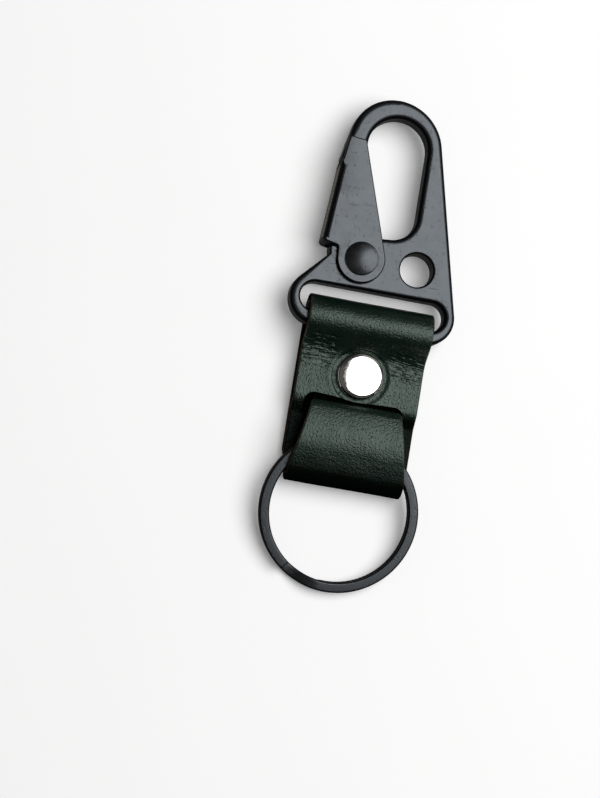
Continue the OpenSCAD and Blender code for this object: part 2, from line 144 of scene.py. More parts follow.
def noise(
    x: np.ndarray, y: np.ndarray, cell: tuple[float, float], seed: int, octaves: int = 3
) -> np.ndarray:
    """Value noise over a plane, between about -1 and 1.

    Random values stand at the corners of cells and are blended by the smooth step of the place in the cell.
    Each further octave halves the cell and the height.

    Args:
        x: Places along the first axis.
        y: Places along the second axis.
        cell: Size of a cell along both axes.
        seed: Seed of the corner values.
        octaves: Number of octaves.

    Returns:
        The heights, in the shape of x and y.
    """
    corners = np.random.default_rng(seed).uniform(-1.0, 1.0, (NOISE_CORNERS, NOISE_CORNERS))
    total = np.zeros(np.broadcast(x, y).shape)
    weight = 1.0
    for octave in range(octaves):
        u = x / cell[0] * 2**octave + OCTAVE_SHIFT[0] * octave
        v = y / cell[1] * 2**octave + OCTAVE_SHIFT[1] * octave
        i, j = np.floor(u).astype(int), np.floor(v).astype(int)
        a, b = smooth(u - i, 0.0, 1.0), smooth(v - j, 0.0, 1.0)
        i, next_i = i % NOISE_CORNERS, (i + 1) % NOISE_CORNERS
        j, next_j = j % NOISE_CORNERS, (j + 1) % NOISE_CORNERS
        low = corners[i, j] * (1 - a) + corners[next_i, j] * a
        high = corners[i, next_j] * (1 - a) + corners[next_i, next_j] * a
        total += weight * (low * (1 - b) + high * b)
        weight *= 0.5
    return total


def furrows(
    x: np.ndarray, y: np.ndarray, cell: tuple[float, float], seed: int, octaves: int = 2
) -> np.ndarray:
    """Sharp furrows, from -1 in a valley to 0: less the cube of 1 minus a noise folded at zero."""
    return -(1 - np.abs(noise(x, y, cell, seed, octaves))) ** 3


@dataclass(frozen=True)
class Bend:
    """One circle that a line runs round: to the left with turn 1, to the right with turn -1."""

    x: float
    y: float
    r: float
    turn: int = 1


@dataclass(frozen=True)
class Line:
    """Points of a line, their outward normals, and the bend that each point belongs to."""

    points: np.ndarray
    normals: np.ndarray
    owner: np.ndarray

    def way(self) -> np.ndarray:
        """Distance of each point from the first one, along the line."""
        return np.concatenate([[0.0], np.cumsum(np.linalg.norm(np.diff(self.points, axis=0), axis=1))])


def heading(a: Bend, b: Bend) -> float:
    """Angle, in degrees, of the outward normal on the straight line that touches circle a and circle b."""
    share = (a.turn * a.r - b.turn * b.r) / math.hypot(b.x - a.x, b.y - a.y)
    return math.degrees(math.atan2(b.y - a.y, b.x - a.x) - math.acos(max(-1.0, min(1.0, share))))


def trace(bends: Sequence[Bend], closed: bool = True, arc_step: float = 3.0, stretch: float = 1.0) -> Line:
    """Points of a line round circles.

    On a circle the normal turns evenly from the straight line before it to the one after it, and a point is
    the middle plus the radius times the normal. Straight stretches are divided evenly.

    Args:
        bends: The circles, in order.
        closed: Whether the line comes back to its start.
        arc_step: Largest turn between two points, in degrees.
        stretch: Longest straight step.

    Returns:
        The line, with the bend's number as owner, and a half more on the straight stretch after it.
    """
    count = len(bends)
    arcs: list[tuple[np.ndarray, np.ndarray]] = []
    for i, bend in enumerate(bends):
        first = heading(bends[i - 1], bend) if closed or i > 0 else heading(bend, bends[i + 1])
        last = heading(bend, bends[(i + 1) % count]) if closed or i < count - 1 else first
        swept = (bend.turn * (last - first) + 720 + TINY) % 360 - TINY
        steps = math.ceil(swept / arc_step) if swept > LEAST_TURN else 0
        angles = np.radians(first + bend.turn * swept * np.linspace(0.0, 1.0, steps + 1))
        normals = np.stack([np.cos(angles), np.sin(angles)], axis=1)
        arcs.append((np.array([bend.x, bend.y]) + bend.turn * bend.r * normals, normals))
    points, all_normals, owner = [], [], []
    for i, (arc, normals) in enumerate(arcs):
        points.append(arc)
        all_normals.append(normals)
        owner.append(np.full(len(arc), float(i)))
        if not closed and i == count - 1:
            break
        start, end = arc[-1], arcs[(i + 1) % count][0][0]
        steps = math.ceil(np.linalg.norm(end - start) / stretch)
        share = np.linspace(0.0, 1.0, steps + 1)[1:-1, None]
        points.append(start + (end - start) * share)
        all_normals.append(np.repeat(normals[-1:], len(share), axis=0))
        owner.append(np.full(len(share), i + 0.5))
    return Line(np.concatenate(points), np.concatenate(all_normals), np.concatenate(owner))


def circle(x: float, y: float, r: float, count: int = 96) -> Line:
    """A closed circle, anticlockwise: the middle plus the radius times the normal at even angles.

    Args:
        x: Sideways place of the middle.
        y: Place of the middle along the clip.
        r: Radius.
        count: Number of points.

    Returns:
        The line, with one owner.
    """
    angles = np.linspace(0.0, 2 * np.pi, count, endpoint=False)
    normals = np.stack([np.cos(angles), np.sin(angles)], axis=1)
    return Line(np.array([x, y]) + r * normals, normals, np.zeros(count))


def spread(line: Line, values: Sequence[float]) -> np.ndarray:
    """Gives each point of a closed line a value: one for each bend, blended along the straight stretches.

    Args:
        line: The closed line.
        values: The value of each bend.

    Returns:
        The value at each point.
    """
    way = line.way()
    closing = way[-1] + np.linalg.norm(line.points[0] - line.points[-1])
    bends = [way[line.owner == i] for i in range(len(values))]
    knots = np.array([place for bend in bends for place in (bend[0], bend[-1] + TINY)] + [closing])
    return np.interp(way, knots, np.append(np.repeat(values, 2), values[0]))


def even_ways(first: float, stops: Sequence[float], steps: Sequence[float]) -> np.ndarray:
    """Ways along a line, evenly spaced from each stop to the next, without the last stop.

    Args:
        first: Where the first stretch starts.
        stops: Where each stretch ends.
        steps: The longest step in each stretch.

    Returns:
        The ways.
    """
    parts = []
    for last, step in zip(stops, steps):
        count = max(2, math.ceil((last - first) / step) + 1)
        parts.append(np.linspace(first, last, count)[:-1])
        first = last
    return np.concatenate(parts)


def wall_profile(
    low: float, high: float, bevel: float | np.ndarray, depth: float | np.ndarray | None = None,
    rows: int = 1, steps: int = 6,
) -> np.ndarray:
    """Inset and height from the lower face to the upper one, with a quarter ellipse at both.

    Args:
        low: Height of the lower face.
        high: Height of the upper face.
        bevel: Inset of both quarter ellipses, one value or one for each point of the line.
        depth: Their height, or None for the same as the inset.
        rows: Number of rows of faces on the straight wall.
        steps: Number of steps in a quarter ellipse.

    Returns:
        Rows of [inset, height], for each point of the line or for all of them.
    """
    bevel = np.atleast_1d(bevel)[:, None]
    depth = bevel if depth is None else np.broadcast_to(np.atleast_1d(depth)[:, None], bevel.shape)
    a = np.linspace(0.0, np.pi / 2, steps + 1)
    inset, rise = bevel * (1 - np.sin(a)), depth * (1 - np.cos(a))
    between = low + depth + np.linspace(0.0, 1.0, rows + 1)[1:-1] * (high - low - 2 * depth)
    insets = np.concatenate([inset, np.zeros_like(between), inset[:, ::-1]], axis=1)
    heights = np.concatenate([low + rise, between, high - rise[:, ::-1]], axis=1)
    return np.stack([insets, heights], axis=2)


class Shell:
    """The vertices and faces of one mesh, collected as arrays."""

    def __init__(self) -> None:
        """Starts empty."""
        self.places: list[np.ndarray] = []
        self.faces: list[np.ndarray] = []
        self.count = 0

    def add(self, places: np.ndarray) -> np.ndarray:
        """Adds vertices.

        Args:
            places: Their places, in an array of any shape whose last axis is x, y and z.

        Returns:
            Their numbers, in the array's own shape.
        """
        shape = places.shape[:-1]
        self.places.append(places.reshape(-1, 3))
        numbers = self.count + np.arange(int(np.prod(shape))).reshape(shape)
        self.count += numbers.size
        return numbers

    def sheet(self, numbers: np.ndarray, wrap: tuple[bool, bool], side: Side = Side.OUT) -> None:
        """Joins a grid of vertices with four-sided faces.

        Args:
            numbers: Vertex numbers, rows along the line and columns up the wall.
            wrap: Whether the last row and the last column join the first ones.
            side: Which way the faces look.
        """
        if wrap[0]:
            numbers = np.concatenate([numbers, numbers[:1]])
        if wrap[1]:
            numbers = np.concatenate([numbers, numbers[:, :1]], axis=1)
        quads = np.stack([numbers[:-1, :-1], numbers[1:, :-1], numbers[1:, 1:], numbers[:-1, 1:]], axis=-1)
        self.faces.append(quads.reshape(-1, 4)[:, :: side.value])

    def fan(self, rim: np.ndarray, pole: int, side: Side = Side.OUT) -> None:
        """Joins a closed rim to one vertex with triangles."""
        corners = np.stack([rim, np.roll(rim, -1), np.full_like(rim, pole)], axis=1)
        self.faces.append(corners[:, :: side.value])

    def cap(self, rims: Sequence[np.ndarray], flat: Callable[[np.ndarray], np.ndarray], side: Side) -> None:
        """Fills a flat face between an outer rim and the holes in it.

        Args:
            rims: Vertex numbers of the outer rim and of each hole.
            flat: Gives the two coordinates of vertices in the face's plane.
            side: OUT if the face looks at the reader when its plane's axes run right and up.
        """
        places = np.concatenate(self.places)
        chosen = np.concatenate(rims)
        plane = flat(places[chosen])
        cuts = np.cumsum([len(rim) for rim in rims])[:-1]
        level = np.pad(plane, ((0, 0), (0, 1)))
        polygons = [list(map(Vector, part.tolist())) for part in np.split(level, cuts)]
        corners = np.array(tessellate_polygon(polygons))
        a, b, c = (plane[corners[:, k]] for k in range(3))
        area = (b[:, 0] - a[:, 0]) * (c[:, 1] - a[:, 1]) - (b[:, 1] - a[:, 1]) * (c[:, 0] - a[:, 0])
        corners = np.where((area * side.value < 0)[:, None], corners[:, ::-1], corners)
        self.faces.append(chosen[corners])

    def mesh(self, name: str) -> bpy.types.Mesh:
        """Makes the mesh, in metres and in the frame's place.

        Args:
            name: The mesh's name.

        Returns:
            The mesh.
        """
        places = (np.concatenate(self.places) - np.array([0.0, MID_Y, 0.0])) * METRE
        mesh = bpy.data.meshes.new(name)
        mesh.from_pydata(places.tolist(), [], [face for group in self.faces for face in group.tolist()])
        mesh.validate()
        return mesh


def plan(places: np.ndarray) -> np.ndarray:
    """The coordinates of places seen from the front: x and y."""
    return places[:, :2]


def stand(
    shell: Shell, line: Line, insets: np.ndarray, heights: np.ndarray, side: Side = Side.OUT
) -> np.ndarray:
    """Stands a wall on a closed line: each point is the line's point less the inset times its normal.

    Args:
        shell: Where the wall goes.
        line: The closed line.
        insets: Insets, one row for all points or one row for each.
        heights: Heights, in the same form.
        side: OUT for the outside of a solid, IN for the wall of a hole.

    Returns:
        The wall's vertex numbers.
    """
    insets, heights = np.broadcast_arrays(np.atleast_2d(insets), np.atleast_2d(heights))
    insets = np.broadcast_to(insets, (len(line.points), insets.shape[1]))
    heights = np.broadcast_to(heights, insets.shape)
    flat = line.points[:, None, :] - insets[:, :, None] * line.normals[:, None, :]
    numbers = shell.add(np.concatenate([flat, heights[:, :, None]], axis=2))
    shell.sheet(numbers, (True, False), side)
    return numbers


def slab(
    shell: Shell, line: Line, profile: np.ndarray, holes: Sequence[tuple[Line, np.ndarray]] = ()
) -> None:
    """A slab with a bevelled outline and bevelled holes.

    Args:
        shell: Where the slab goes.
        line: The outline.
        profile: Rows of inset and height up the outline.
        holes: Each hole's line and profile. The hole grows by its inset.
    """
    walls = [stand(shell, line, profile[..., 0], profile[..., 1])]
    walls += [stand(shell, hole, -rows[..., 0], rows[..., 1], Side.IN) for hole, rows in holes]
    shell.cap([wall[:, -1] for wall in walls], plan, Side.OUT)
    shell.cap([wall[:, 0] for wall in walls], plan, Side.IN)


def prism(points: np.ndarray, low: float, high: float) -> Shell:
    """The upright prism over a polygon.

    Args:
        points: The polygon's corners, anticlockwise.
        low: Height of the lower face.
        high: Height of the upper face.

    Returns:
        The closed solid.
    """
    shell = Shell()
    line = Line(points, np.zeros_like(points), np.zeros(len(points)))
    slab(shell, line, np.array([[0.0, low], [0.0, high]]))
    return shell


def revolve(shell: Shell, profile: np.ndarray, x: float, y: float, count: int = 96) -> None:
    """A turned solid: the profile of radius and height carried round the axis, with a pole at each end.

    Args:
        shell: Where the solid goes.
        profile: Rows of radius and height from the lower pole to the upper one, both on the axis.
        x: Sideways place of the axis.
        y: Place of the axis along the clip.
        count: Number of steps round the axis.
    """
    angles = np.linspace(0.0, 2 * np.pi, count, endpoint=False)[:, None]
    body = profile[1:-1]
    numbers = shell.add(np.stack([
        x + body[:, 0] * np.cos(angles),
        y + body[:, 0] * np.sin(angles),
        np.broadcast_to(body[:, 1], (count, len(body))),
    ], axis=2))
    shell.sheet(numbers, (True, False))
    poles = shell.add(np.array([[x, y, profile[0, 1]], [x, y, profile[-1, 1]]]))
    shell.fan(numbers[:, 0], int(poles[0]), Side.IN)
    shell.fan(numbers[:, -1], int(poles[1]))


def dome_profile(r: float, low: float, rim: float, rise: float, edge: float, shoulder: float) -> np.ndarray:
    """Outer profile of a domed head from its lower edge to its pole.

    A straight rim ends in a round shoulder, and above it a circle's arc falls with the radius.

    Args:
        r: Radius of the head.
        low: Height of its underside.
        rim: Height of the rim with its shoulder.
        rise: Height of the dome above the rim.
        edge: Radius of the rim's lower edge.
        shoulder: Radius of the shoulder.

    Returns:
        Rows of [radius, height].
    """
    ball = (r * r + rise * rise) / (2 * rise)
    slope = math.asin(r / ball)
    a = np.linspace(0.0, np.pi / 2, EDGE_POINTS)
    lower = np.stack([r - edge + edge * np.sin(a), low + edge - edge * np.cos(a)], axis=1)
    b = np.linspace(0.0, np.pi / 2 - slope, SHOULDER_POINTS)
    base = low + rim - shoulder * math.cos(slope)
    upper = np.stack([r - shoulder + shoulder * np.cos(b), base + shoulder * np.sin(b)], axis=1)
    start = math.asin(upper[-1, 0] / ball)
    c = np.linspace(start, 0.0, DOME_POINTS)[1:]
    top = upper[-1, 1] + ball * (np.cos(c) - math.cos(start))
    return np.concatenate([lower, upper, np.stack([ball * np.sin(c), top], axis=1)])


def carve(obj: bpy.types.Object, cutter: Shell) -> None:
    """Cuts the cutter's solid out of the object's mesh for good.

    Args:
        obj: The object, in place.
        cutter: The closed solid that is taken away.
    """
    tool = bpy.data.objects.new("cutter", cutter.mesh("cutter"))
    bpy.context.scene.collection.objects.link(tool)
    cut = obj.modifiers.new("cut", "BOOLEAN")
    cut.operation = "DIFFERENCE"
    cut.solver = "EXACT"
    cut.object = tool
    graph = bpy.context.evaluated_depsgraph_get()
    mesh = bpy.data.meshes.new_from_object(obj.evaluated_get(graph))
    obj.modifiers.clear()
    obj.data = mesh
    bpy.data.objects.remove(tool)


def join_meshes(obj: bpy.types.Object, other: bpy.types.Object, seam_y: float) -> None:
    """Joins two solids that meet in one flat face, which is opened so that they become one solid.

    Args:
        obj: The object that keeps both meshes.
        other: The object that is removed.
        seam_y: Place of the shared face.
    """
    def on_seam(vert: bmesh.types.BMVert) -> bool:
        """Whether a corner lies in the plane of the shared face."""
        return abs(vert.co.y - seam_y) < SEAM_REACH

    work = bmesh.new()
    work.from_mesh(obj.data)
    work.from_mesh(other.data)
    seam = [face for face in work.faces if abs(face.normal.y) > SEAM_FLAT and all(map(on_seam, face.verts))]
    bmesh.ops.delete(work, geom=seam, context="FACES")
    rims = [vert for vert in work.verts if on_seam(vert)]
    bmesh.ops.remove_doubles(work, verts=rims, dist=SEAM_MERGE)
    loose = [vert for vert in work.verts if not vert.link_faces]
    bmesh.ops.delete(work, geom=loose, context="VERTS")
    mesh = bpy.data.meshes.new(obj.name)
    work.to_mesh(mesh)
    work.free()
    obj.data = mesh
    bpy.data.objects.remove(other)


def place(mesh: bpy.types.Mesh, name: str) -> bpy.types.Object:
    """Puts a mesh into the scene as an object at the origin.

    Args:
        mesh: The mesh.
        name: The object's name.

    Returns:
        The object.
    """
    obj = bpy.data.objects.new(name, mesh)
    bpy.context.scene.collection.objects.link(obj)
    return obj


def paint(mesh: bpy.types.Mesh, name: str, measure: Callable[[np.ndarray, np.ndarray], np.ndarray]) -> None:
    """Writes a share for each vertex, which the material reads.

    Args:
        mesh: The finished mesh.
        name: The attribute's name.
        measure: Gives the share from the vertices' places in millimetres and their normals.
    """
    places, normals = np.empty(len(mesh.vertices) * 3), np.empty(len(mesh.vertices) * 3)
    mesh.vertices.foreach_get("co", places)
    mesh.vertices.foreach_get("normal", normals)
    share = measure(places.reshape(-1, 3) / METRE + np.array([0.0, MID_Y, 0.0]), normals.reshape(-1, 3))
    mesh.attributes.new(name, "FLOAT", "POINT").data.foreach_set("value", share.astype(np.float32))


def flank(places: np.ndarray, normals: np.ndarray) -> np.ndarray:
    """Share of a flank: 0 where the surface looks up or down, 1 where it leans by over 25 degrees."""
    return smooth(1.0 - np.abs(normals[:, 2]), *FLANK_LEAN)


def steep(places: np.ndarray, normals: np.ndarray) -> np.ndarray:
    """Share of a wall: 0 where the surface looks up or down, 1 where it leans by over 55 degrees."""
    return smooth(1.0 - np.abs(normals[:, 2]), *WALL_LEAN)


def finish_piece(
    obj: bpy.types.Object, body: Body, node: str, material: bpy.types.Material, sharp: float = 40.0
) -> None:
    """Shades a piece, gives it its material and ties it to the frame.

    Args:
        obj: The piece.
        body: The body that it rides on.
        node: The CAD node that it replaces, which is hidden.
        material: Its material.
        sharp: Edges that turn by more than this many degrees stay sharp.
    """
    mesh = obj.data
    mesh.shade_smooth()
    mesh.set_sharp_from_angle(angle=math.radians(sharp))
    mesh.materials.clear()
    mesh.materials.append(material)
    even = obj.modifiers.new("even_normals", "WEIGHTED_NORMAL")
    even.keep_sharp = True
    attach(obj, body.value)
    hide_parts(node)
    LOG.info("%s: %d vertices, %d faces, rides on %s",
             obj.name, len(mesh.vertices), len(mesh.polygons), body.value)


# Finishes


def colour(code: str) -> tuple[float, float, float, float]:
    """Turns an sRGB hex colour into linear values with full alpha, by the sRGB curve.

    Args:
        code: A hash and six hex digits.

    Returns:
        Red, green, blue and alpha.
    """
    part = np.array([int(code[k:k + 2], 16) / 255 for k in (1, 3, 5)])
    linear = np.where(part <= 0.04045, part / 12.92, ((part + 0.055) / 1.055) ** 2.4)
    return (*map(float, linear), 1.0)


def add_node(
    tree: bpy.types.NodeTree, kind: Kind, settings: dict[Any, Any] | None = None,
    links: dict[Any, bpy.types.NodeSocket] | None = None,
) -> bpy.types.Node:
    """Adds a node with its settings and links.

    Args:
        tree: The node tree.
        kind: What the node is.
        settings: Values of the node's own settings, or of its inputs by name or number.
        links: Sockets that feed its inputs, by name or number.

    Returns:
        The new node.
    """
    node = tree.nodes.new(kind.value)
    for key, value in (settings or {}).items():
        if isinstance(key, str) and hasattr(node, key):
            setattr(node, key, value)
        else:
            node.inputs[key].default_value = value
    for key, source in (links or {}).items():
        tree.links.new(source, node.inputs[key])
    return node


def per_metre(size: float) -> float:
    """Texture scale for a pattern whose cells measure the given millimetres."""
    return 1.0 / (size * METRE)


def blank(name: str) -> tuple[bpy.types.Material, bpy.types.NodeTree, bpy.types.Node, bpy.types.NodeSocket]:
    """Starts a material.

    Args:
        name: The material's name.

    Returns:
        The material, its tree, its shader and its Object coordinates.
    """
    material = bpy.data.materials.new(name)
    material.use_nodes = True
    tree = material.node_tree
    tree.nodes.clear()
    shader = add_node(tree, Kind.PRINCIPLED)
    add_node(tree, Kind.MATERIAL, links={"Surface": shader.outputs["BSDF"]})
    return material, tree, shader, add_node(tree, Kind.COORDINATES).outputs["Object"]


@dataclass(frozen=True)
class Enamel:
    """Satin black electrocoat on metal: a cool sheen on flat faces, flanks with painted shade (their sheen
    cut away), pits and scratches.
    """

    name: str
    base: str = "#060708"
    pit: str = "#020203"
    bare: str = "#8f8a82"
    tint: str = "#eef7ff"
    level: float = 0.69
    flank_level: float = 0.05
    roughness: tuple[float, float] = (0.2, 0.28)
    flank_roughness: float = 0.3
    mottle_size: float = 2.4
    pit_size: float = 0.7
    pit_depth: float = 0.03
    scratch_size: float = 1.6
    scratch_turn: float = 0.7
    scratch_stretch: tuple[float, float, float] = (0.3, 4.0, 1.0)
    ior: float = 1.5

    def make(self) -> bpy.types.Material:
        """Builds the material.

        Returns:
            The material.
        """
        material, tree, shader, place_of = blank(self.name)
        where = {"Vector": place_of}
        flank_share = add_node(tree, Kind.ATTRIBUTE, {"attribute_name": "flank"}).outputs["Fac"]
        worn = add_node(tree, Kind.ATTRIBUTE, {"attribute_name": "worn"}).outputs["Fac"]
        mottle = add_node(tree, Kind.NOISE, {"Scale": per_metre(self.mottle_size), "Detail": 4.0}, where)
        film = add_node(tree, Kind.RANGE, dict(enumerate((0.3, 0.7, *self.roughness), 1)),
                        {0: mottle.outputs[0]})
        # Painted shade: the flanks get a rougher film and almost no sheen, so that they read black instead of
        # reflecting the floor
        dull = add_node(tree, Kind.MATH, {"operation": "MULTIPLY_ADD", 1: self.flank_roughness},
                        {0: flank_share, 2: film.outputs[0]})
        tree.links.new(dull.outputs[0], shader.inputs["Roughness"])
        sheen = add_node(tree, Kind.RANGE, {3: self.level, 4: self.flank_level}, {0: flank_share})
        tree.links.new(sheen.outputs[0], shader.inputs["Specular IOR Level"])
        # Small dark pits: the peaks of a fine noise
        fine = add_node(tree, Kind.NOISE, {"Scale": per_metre(self.pit_size), "Detail": 3.0}, where)
        pits = add_node(tree, Kind.RANGE, {1: 0.62, 2: 0.72}, {0: fine.outputs[0]})
        # Short scratches: the peaks of a noise that is stretched and turned
        turn = {"Rotation": (0.0, 0.0, self.scratch_turn), "Scale": self.scratch_stretch}
        turned = add_node(tree, Kind.MAPPING, turn, where)
        long = add_node(tree, Kind.NOISE, {"Scale": per_metre(self.scratch_size), "Detail": 1.0},
                        {"Vector": turned.outputs[0]})
        scratches = add_node(tree, Kind.RANGE, {1: 0.74, 2: 0.79, 4: 0.8}, {0: long.outputs[0]})
        marks = add_node(tree, Kind.MATH, {"operation": "MAXIMUM"},
                         {0: pits.outputs[0], 1: scratches.outputs[0]})
        shade = add_node(tree, Kind.MIX, {"data_type": "RGBA", 6: colour(self.base), 7: colour(self.pit)},
                         {0: marks.outputs[0]})
        shade = add_node(tree, Kind.MIX, {"data_type": "RGBA", 7: colour(self.bare)},
                         {0: worn, 6: shade.outputs[2]})
        tree.links.new(shade.outputs[2], shader.inputs["Base Color"])
        dents = {"Strength": 0.6, "Distance": self.pit_depth * METRE, "invert": True}
        bump = add_node(tree, Kind.BUMP, dents, {"Height": marks.outputs[0]})
        tree.links.new(bump.outputs[0], shader.inputs["Normal"])
        shader.inputs["Specular Tint"].default_value = colour(self.tint)
        shader.inputs["IOR"].default_value = self.ior
        return material


@dataclass(frozen=True)
class Nickel:
    """Polished nickel plate: a mirror with a warm tint, faint polishing haze and a few pin marks."""

    name: str
    base: str = "#d8d5cf"
    roughness: tuple[float, float] = (0.06, 0.13)
    haze_size: float = 1.3
    mark_spacing: float = 1.1
    mark_depth: float = 0.006

    def make(self) -> bpy.types.Material:
        """Builds the material.

        Returns:
            The material.
        """
        material, tree, shader, place_of = blank(self.name)
        where = {"Vector": place_of}
        haze = add_node(tree, Kind.NOISE, {"Scale": per_metre(self.haze_size), "Detail": 5.0}, where)
        film = add_node(tree, Kind.RANGE, dict(enumerate((0.35, 0.7, *self.roughness), 1)),
                        {0: haze.outputs[0]})
        tree.links.new(film.outputs[0], shader.inputs["Roughness"])
        marks = add_node(tree, Kind.CELLS, {"Scale": per_metre(self.mark_spacing)}, where)
        pins = add_node(tree, Kind.RANGE, {2: 0.09}, {0: marks.outputs[0]})
        bump = add_node(tree, Kind.BUMP, {"Strength": 0.25, "Distance": self.mark_depth * METRE},
                        {"Height": pins.outputs[0]})
        tree.links.new(bump.outputs[0], shader.inputs["Normal"])
        shader.inputs["Metallic"].default_value = 1.0
        shader.inputs["Base Color"].default_value = colour(self.base)
        return material


@dataclass(frozen=True)
class SpringSteel:
    """Drawn spring steel wire: bright, with fine lines from the die."""

    name: str
    base: str = "#8f9195"
    roughness: tuple[float, float] = (0.22, 0.42)
    line_size: float = 0.35

    def make(self) -> bpy.types.Material:
        """Builds the material.

        Returns:
            The material.
        """
        material, tree, shader, place_of = blank(self.name)
        where = {"Vector": place_of}
        lines = add_node(tree, Kind.NOISE, {"Scale": per_metre(self.line_size), "Detail": 3.0}, where)
        film = add_node(tree, Kind.RANGE, dict(enumerate((0.3, 0.7, *self.roughness), 1)),
                        {0: lines.outputs[0]})
        tree.links.new(film.outputs[0], shader.inputs["Roughness"])
        shader.inputs["Metallic"].default_value = 1.0
        shader.inputs["Base Color"].default_value = colour(self.base)
        return material


@dataclass(frozen=True)
class DyedLeather:
    """Vegetable-tanned cowhide, dyed deep green and waxed: open pores, creased grain, raw brown cut edges."""

    name: str
    dark: str = "#04100a"
    light: str = "#0a1b14"
    pore: str = "#010302"
    # Painted shade: near black, used where the dull share is set
    painted_shade: str = "#020503"
    raw: str = "#20150f"
    fibre: str = "#6d564b"
    worn: str = "#75827a"
    dust: str = "#9aa59f"
    tint: str = "#e7fff2"
    level: float = 0.5
    roughness: tuple[float, float] = (0.3, 0.38)
    cut_roughness: float = 0.35
    cloud_size: float = 5.0
    pore_spacing: float = 0.5
    grain_size: float = 0.8
    fuzz_size: float = 0.25
    dust_size: float = 0.45
    strand_size: float = 0.3
    relief: float = 0.06
    crease_share: float = 0.45
    fuzz_share: float = 0.5
    ior: float = 1.5

    def make(self) -> bpy.types.Material:
        """Builds the material.

        Returns:
            The material.
        """
        material, tree, shader, place_of = blank(self.name)
        where = {"Vector": place_of}
        cloud = add_node(tree, Kind.NOISE, {"Scale": per_metre(self.cloud_size), "Detail": 5.0}, where)
        clouds = add_node(tree, Kind.RANGE, {1: 0.3, 2: 0.7}, {0: cloud.outputs[0]})
        dye = add_node(tree, Kind.MIX, {"data_type": "RGBA", 6: colour(self.dark), 7: colour(self.light)},
                       {0: clouds.outputs[0]})
        # Pores are drawn a little coarser than real ones so that they show
        pores = add_node(tree, Kind.CELLS, {"Scale": per_metre(self.pore_spacing), "Randomness": 1.0}, where)
        pits = add_node(tree, Kind.RANGE, {1: 0.05, 2: 0.42}, {0: pores.outputs[0]})
        # The grain's creases run between the pores' cells
        edges = {"Scale": per_metre(self.grain_size), "feature": "DISTANCE_TO_EDGE"}
        cells = add_node(tree, Kind.CELLS, edges, where)
        creases = add_node(tree, Kind.RANGE, {2: 0.16}, {0: cells.outputs[0]})
        fuzz = add_node(tree, Kind.NOISE, {"Scale": per_metre(self.fuzz_size), "Detail": 3.0}, where)
        heights = add_node(tree, Kind.MATH, {"operation": "MULTIPLY_ADD", 1: self.crease_share},
                           {0: creases.outputs[0], 2: pits.outputs[0]})
        heights = add_node(tree, Kind.MATH, {"operation": "MULTIPLY_ADD", 1: self.fuzz_share},
                           {0: fuzz.outputs[0], 2: heights.outputs[0]})
        bump = add_node(tree, Kind.BUMP, {"Strength": 0.7, "Distance": self.relief * METRE},
                        {"Height": heights.outputs[0]})
        tree.links.new(bump.outputs[0], shader.inputs["Normal"])
        holes = add_node(tree, Kind.RANGE, {2: 0.6, 3: 0.7, 4: 0.0}, {0: pits.outputs[0]})
        dye = add_node(tree, Kind.MIX, {"data_type": "RGBA", 7: colour(self.pore)},
                       {0: holes.outputs[0], 6: dye.outputs[2]})
        # Sparse specks of pale dust
        motes = add_node(tree, Kind.NOISE, {"Scale": per_metre(self.dust_size), "Detail": 2.0}, where)
        specks = add_node(tree, Kind.RANGE, {1: 0.74, 2: 0.78, 4: 0.6}, {0: motes.outputs[0]})
        dye = add_node(tree, Kind.MIX, {"data_type": "RGBA", 7: colour(self.dust)},
                       {0: specks.outputs[0], 6: dye.outputs[2]})
        # Cut edges show brown fibres, and the worn corner of the mouth shows pale ones
        felt = {"Scale": per_metre(self.strand_size), "Detail": 6.0, "Distortion": 0.6}
        strands = add_node(tree, Kind.NOISE, felt, where)
        fibres = add_node(tree, Kind.RANGE, {1: 0.5, 2: 0.72, 4: 0.8}, {0: strands.outputs[0]})
        core = add_node(tree, Kind.MIX, {"data_type": "RGBA", 6: colour(self.raw), 7: colour(self.fibre)},
                        {0: fibres.outputs[0]})
        cut, worn, dull = (
            add_node(tree, Kind.ATTRIBUTE, {"attribute_name": name}).outputs["Fac"]
            for name in ("cut", "worn", "dull")
        )
        shade = add_node(tree, Kind.MIX, {"data_type": "RGBA"},
                         {0: cut, 6: dye.outputs[2], 7: core.outputs[2]})
        pale = add_node(tree, Kind.RANGE, {1: 0.5, 2: 0.62}, {0: strands.outputs[0]})
        threads = add_node(tree, Kind.MATH, {"operation": "MULTIPLY"}, {0: worn, 1: pale.outputs[0]})
        shade = add_node(tree, Kind.MIX, {"data_type": "RGBA", 7: colour(self.worn)},
                         {0: threads.outputs[0], 6: shade.outputs[2]})
        # Painted shade: where the dull share is set, the leather is painted near black and loses its sheen,
        # for the shade in the gap under the panel, beside the tongue, at the fold's foot and on the flesh
        # side
        painted_shade = add_node(tree, Kind.MATH, {"operation": "SUBTRACT", "use_clamp": True}, {0: dull, 1: cut})
        shade = add_node(tree, Kind.MIX, {"data_type": "RGBA", 7: colour(self.painted_shade)},
                         {0: painted_shade.outputs[0], 6: shade.outputs[2]})
        tree.links.new(shade.outputs[2], shader.inputs["Base Color"])
        matt = add_node(tree, Kind.MATH, {"operation": "MAXIMUM"}, {0: dull, 1: cut})
        sheen = add_node(tree, Kind.RANGE, {3: self.level, 4: 0.0}, {0: matt.outputs[0]})
        tree.links.new(sheen.outputs[0], shader.inputs["Specular IOR Level"])
        wax = add_node(tree, Kind.RANGE, dict(enumerate((0.3, 0.7, *self.roughness), 1)),
                       {0: cloud.outputs[0]})
        dry = {"operation": "MULTIPLY_ADD", 1: self.cut_roughness}
        rough = add_node(tree, Kind.MATH, dry, {0: cut, 2: wax.outputs[0]})
        tree.links.new(rough.outputs[0], shader.inputs["Roughness"])
        shader.inputs["Specular Tint"].default_value = colour(self.tint)
        shader.inputs["IOR"].default_value = self.ior
        return material


# The clip's pieces


